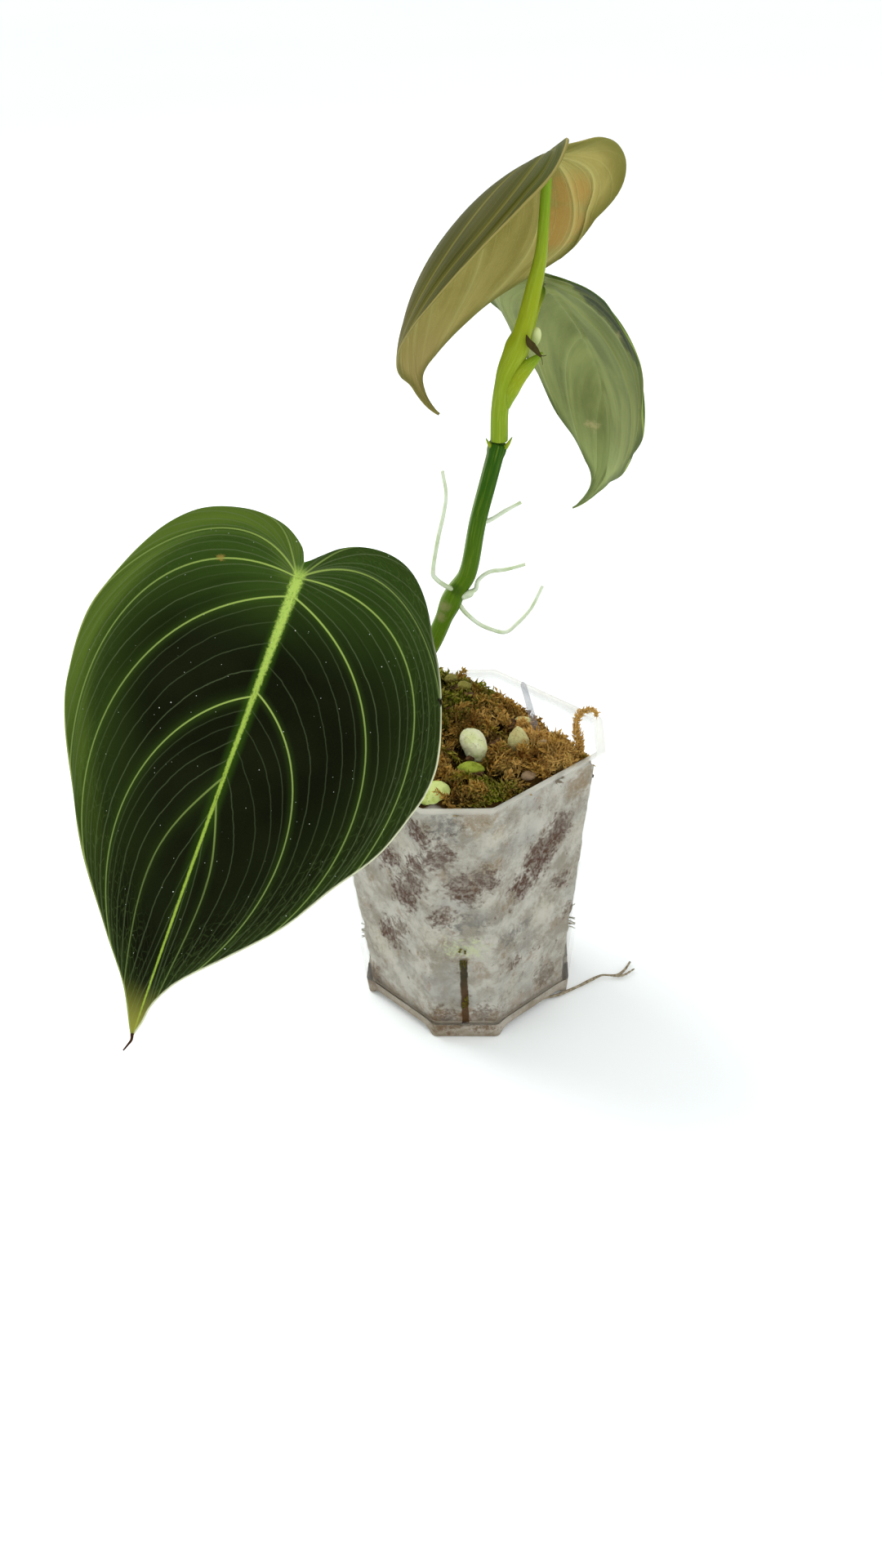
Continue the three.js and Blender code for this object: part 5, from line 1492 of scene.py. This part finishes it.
def bark_chips(count, seed):
    """Flat broken chips of bark between the moss."""
    random = np.random.default_rng(seed)
    box, faces = solid(divided_box)
    box = box / (np.abs(box) ** 6).sum(1, keepdims=True) ** (1 / 6)
    parts = []
    while len(parts) < count:
        x, y = random.uniform(-CHIP["field"], CHIP["field"], 2)
        if not inside_rim(x, y, CHIP["inside_wall"]):
            continue
        size = np.array([random.uniform(*sizes) for sizes in zip(CHIP["least"], CHIP["most"])])
        uneven = lattice_noise(box + 9 * len(parts), CHIP["broken_size"], 31)[:, None]
        shaped = box * size * (1 + CHIP["broken"] * uneven)
        turn = turned("Z", random.uniform(0, 6.28)) @ turned("X", random.normal(0, CHIP["tilts"][0]))
        turn = turn @ turned("Y", random.normal(0, CHIP["tilts"][1]))
        at = np.array([x, y, moss_height(x, y) + random.uniform(*CHIP["heights"])])
        parts.append((shaped @ turn.T + at, faces, {}))
    return join_parts(parts)


# One strand that stands over the rim, and tufts in the slots: direction, height and reach
RIM_STRAND = [(30.4, -8, 77), (30.7, -7, 82), (30.1, -6, 86.2), (30.8, -4.6, 88.6), (32.6, -3.4, 89),
              (34.6, -2.6, 88.4), (35.5, -2.2, 86.8)]
SLOT_TUFTS = [(0, 20, 0.9), (90, 26, 0.8), (180, 15, 0.9), (-90, 12, 0.5), (-90, 30, 0.4)]
STRANDS_IN_A_TUFT = 7

# Loose moss: name, strands, seed, length, rise, thickness, and how far from the wall it reaches
MOSS_LAYERS = [
    ("low", 820, 41, 10, 2.4, 0.24, 40),
    ("high", 460, 42, 9, 4.4, 0.34, 40),
    ("edge", 260, 46, 7, 1.6, 0.24, 5),
]

# Looks of the grains: colour, stain and how much of it
GRAIN_LOOKS = {
    "cream": ((222, 224, 184), (196, 206, 130), 0.6),
    "lime": ((206, 220, 140), (170, 190, 80), 0.7),
    "algae": ((150, 164, 60), (112, 122, 26), 0.8),
    "stained": ((206, 202, 142), (172, 150, 96), 0.7),
    "tan": ((168, 142, 104), (120, 92, 58), 0.8),
    "lilac": ((146, 124, 96), (92, 68, 40), 0.8),
    "mossy": ((128, 122, 58), (96, 82, 24), 0.8),
}


def loose_strands():
    """The strand over the rim, and the tufts that stand out of the slots."""
    random = np.random.default_rng(43)
    count = STRANDS_IN_A_TUFT
    paths = []
    for k in range(count):
        route = catmull_rom(RIM_STRAND, 40) + random.normal(0, 0.3, 3)
        route += 0.6 * np.column_stack([lattice_noise(route + 5 * k, 3, 50 + axis) for axis in range(3)])
        paths.append(route)
    parts = [sprigs(np.array(paths), np.full(count, 0.45), np.ones(count), 70, 1.7, 44, 0.22)]
    t = np.linspace(0, 1, PATH_POINTS)[:, None]
    for turn, z, reach in SLOT_TUFTS:
        angle = math.radians(turn)
        out = np.array([math.cos(angle), math.sin(angle), 0])
        aside = np.array([-math.sin(angle), math.cos(angle), 0])
        distance = (pot_half(z) - POT["corner_cut"] / 2) * math.sqrt(2)
        paths = []
        for k in range(count):
            start = out * (distance - 3) + np.array([0, 0, z + random.uniform(-3, 3)])
            start = start + aside * random.uniform(-0.8, 0.8)
            bow = aside * random.uniform(-0.4, 0.4) + np.array([0, 0, random.uniform(-1.5, 1.5)])
            paths.append(start + out * (reach + 2.4) * t + bow * t ** 2)
        tones, depths = np.full(count, 0.6), np.full(count, 0.55)
        parts.append(sprigs(np.array(paths), tones, depths, 22, 0.7, 245 + turn, 0.2))
    return join_parts(parts)


def build_fill():
    piece(make_object("fill_bed", bed_mesh(), [bed_material()]), "moss", "moss")
    sphagnum = moss_material()
    for name, count, seed, length, rise, thickness, band in MOSS_LAYERS:
        paths = moss_paths(count, seed, length, rise, band)
        strands = sprigs(paths, *moss_tones(paths, seed), 32, 2.4, seed, thickness)
        piece(make_object("moss_" + name, strands, [sphagnum], smooth=False), "moss")
    piece(make_object("moss_strands", loose_strands(), [sphagnum], smooth=False), "moss")
    looks = {name: grain_material("pumice_" + name, *look) for name, look in GRAIN_LOOKS.items()}
    for number, (at, size, turn, slot, look) in enumerate(LUMPS):
        made = make_object("grain_" + str(number + 1), lump_mesh(at, size, turn, number), [looks[look]])
        piece(made, slot, "lump_" + str(number + 1))
    piece(make_object("bark_chips", bark_chips(60, 61), [bark_material()]), "bark_chip")


# Small pieces

FLOOR_ROOT = [
    (9, -9, 14), (9, -9, 6.5), (9.3, -9.2, 3.6), (10.6, -9.9, 1.7), (12.6, -10.9, 1.05), (16, -12.2, 1),
    (20.5, -13, 0.95), (25, -12, 0.9), (28.6, -10, 0.9), (32.2, -7.6, 0.9), (35.9, -4.8, 0.9),
    (39, -2.9, 0.9), (43, -2.8, 0.8), (45.4, -0.6, 0.8), (47.4, 3.4, 0.7),
]
FLOOR_FORK = [(42, -3, 0.8), (45, -2.8, 0.8), (48.4, 0.2, 0.7)]
DRIED_TIP = [(20.9, 3.4, 178.4), (19.6, 3.2, 180), (18.2, 3.1, 181.8), (17.5, 3, 183.6)]
DRIED_HAIRS = [[(20.7, 3.4, 178.7), (21.1, 3.3, 177.6), (21.2, 3.2, 176.6)],
               [(20.6, 3.4, 178.8), (21.4, 3.3, 178.6), (22.1, 3.2, 178.8)]]
LEAF_THREAD = [(-64.9, -110.1, 73.4), (-65.1, -110.6, 72.2), (-65.9, -111.2, 71.3), (-66.8, -111.8, 70.4)]
SLIVER = {"foot": (21.2, 0.4, 75), "top": (16.3, 0.4, 95.4), "width": 2, "thickness": 0.5, "rings": 24}
SLIVER_RING = [(-1, -1), (0, -1.2), (1, -1), (1, 1), (0, 0.8), (-1, 1)]
BUD = {"middle": (19.6, 7.9, 181.7), "half_length": 2.3, "radius": 1.35, "lean": 14}


def knotty(along, angle):
    """The shape of a dry root, with knots and dents."""
    return 1 + 0.14 * np.sin(37 * along) + 0.1 * np.sin(2 * angle + 23 * along)


def crumpled(along, angle):
    """The shape of a dried sheath, folded and flatter towards its end."""
    return 1 - 0.55 * np.abs(np.sin(angle)) * along ** 0.5 + 0.1 * np.sin(5 * angle + 9 * along)


def rounded(t):
    """The radius of an egg shape along it."""
    return BUD["radius"] * np.sqrt(np.clip(1 - (2 * t - 1) ** 2, 0.001, 1))


def build_floor_root():
    graph = Graph("dry_root")
    spots = graph.noise(0.9, 4, 0.65)
    colour = graph.mix(graph.smooth(spots, 0.35, 0.7), (112, 98, 76), (172, 162, 136))
    dry = graph.finish(colour, 0.8, graph.bump(spots, 0.25))
    parts = [tube_mesh(FLOOR_ROOT, tapered(0.6, -0.28), 220, 12, knotty),
             tube_mesh(FLOOR_FORK, tapered(0.36, -0.12), 40, 8, knotty)]
    piece(make_object("root_on_the_ground", join_parts(parts), [dry]), "root", "floor_root")


def build_dried_bits():
    graph = Graph("dry_sheath")
    grain = graph.noise(1.6, 4, 0.6, graph.stretched(1.0, 1.0, 0.3))
    colour = graph.mix(grain, (34, 28, 8), (84, 72, 34))
    dry = graph.finish(colour, 0.8, graph.bump(grain, 0.2), 0.1)
    tip_radius = knots((0, 0.2), (0.3, 0.7), (0.6, 0.95), (0.85, 0.5), (1, 0.1))
    parts = [tube_mesh(DRIED_TIP, tip_radius, 50, 20, crumpled)]
    parts += [tube_mesh(route, tapered(0.12, -0.05), 12, 8) for route in DRIED_HAIRS]
    piece(make_object("dried_sheath_tip", join_parts(parts), [dry]), "dried_sheath", "dried_tip")

    graph = Graph("dry_thread")
    thread = graph.finish(graph.mix(graph.noise(1.2, 3), (40, 20, 6), (72, 42, 18)), 0.8, shine=0.1)
    mesh = tube_mesh(LEAF_THREAD, tapered(0.36, -0.2), 24, 10)
    piece(make_object("thread_at_leaf_tip", mesh, [thread]), "dried_sheath")


def build_bud():
    graph = Graph("pale_bud")
    colour = graph.mix(graph.smooth(graph.value("along"), 0.1, 0.9), (150, 166, 84), (204, 214, 150))
    relief = graph.bump(graph.noise(0.8, 2), 0.1)
    bud = graph.finish(colour, 0.4, relief, soft=(0.15, (2, 2, 1)))
    lean = math.radians(BUD["lean"])
    half = np.array([math.sin(lean), 0, math.cos(lean)]) * BUD["half_length"]
    route = [np.array(BUD["middle"]) + half * t for t in (-1, -0.5, 0, 0.5, 1)]
    piece(make_object("side_bud", tube_mesh(route, rounded, 40, 24), [bud]), "bud", "bud")


def build_sliver():
    graph = Graph("clear_strip")
    haze = graph.noise(0.4, 3)
    graph.put(graph.shader["Alpha"], haze * 0.2 + 0.24)
    strip = graph.finish(graph.mix(haze, (146, 148, 160), (176, 178, 190)), 0.3, shine=0.3)
    foot, top = np.array(SLIVER["foot"]), np.array(SLIVER["top"])
    points = []
    for t in np.linspace(0, 1, SLIVER["rings"]):
        width = SLIVER["width"] / 2 * (1 - 0.25 * t) * min(1, (1.02 - t) / 0.06)
        centre = foot + (top - foot) * t + np.array([0, 0.25 * math.sin(3 * t), 0])
        points += [centre + np.array([x * width, y * SLIVER["thickness"] / 2, 0]) for x, y in SLIVER_RING]
    around = len(SLIVER_RING)
    faces = ring_faces(SLIVER["rings"], around)
    faces += [list(reversed(range(around))), list(range(len(points) - around, len(points)))]
    made = make_object("clear_sliver_strip", (points, faces, {}), [strip], smooth=False)
    piece(made, "clear_sliver", "sliver")


# The whole scene

CAMERA = {"place": (14.1, -336.8, 274.3), "pitch": 31.84, "yaw": -3.39, "roll": -2.23, "focal_pixels": 1800,
          "long_side_pixels": 1920, "sensor": 36.0, "clip_start": 0.01, "clip_end": 100}
STAGE = {"reach": 40000, "height": -0.05, "sky": (0.985, 0.992, 1.0, 1), "aim": (0, 0, 120)}

# Each light: name, place, size and power
LIGHTS = [("window", (-700, 500, 900), 700, 7), ("fill", (500, -900, 900), 900, 1.5)]


def build_camera():
    yaw, pitch, roll = (math.radians(CAMERA[key]) for key in ("yaw", "pitch", "roll"))
    forward = Vector((math.sin(yaw) * math.cos(pitch), math.cos(yaw) * math.cos(pitch), -math.sin(pitch)))
    level = Vector((math.cos(yaw), -math.sin(yaw), 0))
    above = level.cross(forward)
    right = level * math.cos(roll) + above * math.sin(roll)
    up = above * math.cos(roll) - level * math.sin(roll)
    data = bpy.data.cameras.new("camera")
    data.sensor_fit = "AUTO"
    data.sensor_width = CAMERA["sensor"]
    data.lens = CAMERA["focal_pixels"] / CAMERA["long_side_pixels"] * CAMERA["sensor"]
    data.clip_start = CAMERA["clip_start"]
    data.clip_end = CAMERA["clip_end"]
    made = bpy.data.objects.new("camera", data)
    bpy.context.scene.collection.objects.link(made)
    turn = Matrix((right, up, -forward)).transposed().to_4x4()
    made.matrix_world = Matrix.Translation(Vector(CAMERA["place"]) * MM) @ turn
    bpy.context.scene.camera = made


def build_stage():
    graph = Graph("floor_white")
    tint = graph.mix(graph.noise(0.0016, 1), (243, 250, 247), (248, 251, 254))
    graph.put(graph.shader["Emission Color"], (1, 1, 1, 1))
    graph.put(graph.shader["Emission Strength"], 0.08)
    white = graph.finish(tint, 0.5, shine=0.2)
    reach, z = STAGE["reach"], STAGE["height"]
    points = [(-reach, -reach, z), (reach, -reach, z), (reach, reach, z), (-reach, reach, z)]
    make_object("floor", (points, [[0, 1, 2, 3]], {}), [white], smooth=False)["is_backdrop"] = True
    world = bpy.data.worlds.new("studio")
    world.use_nodes = True
    background = world.node_tree.nodes["Background"]
    background.inputs["Color"].default_value = STAGE["sky"]
    background.inputs["Strength"].default_value = 1.0
    bpy.context.scene.world = world


def build_light(name, place, size, power):
    data = bpy.data.lights.new(name, "AREA")
    data.shape = "DISK"
    data.size = size * MM
    data.energy = power
    made = bpy.data.objects.new(name, data)
    bpy.context.scene.collection.objects.link(made)
    made.location = Vector(place) * MM
    made.rotation_euler = (Vector(STAGE["aim"]) - Vector(place)).to_track_quat("-Z", "Y").to_euler()


def main():
    build_camera()
    build_stage()
    for light in LIGHTS:
        build_light(*light)
    build_leaves()
    build_stems()
    build_pot()
    build_fill()
    build_floor_root()
    build_dried_bits()
    build_bud()
    build_sliver()
    view = bpy.context.scene.view_settings
    view.view_transform = "Standard"
    view.look = "None"


main()
boxes = {"cad": [list(corner) for corner in CAD_BOX], "visual": [list(corner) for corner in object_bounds()]}
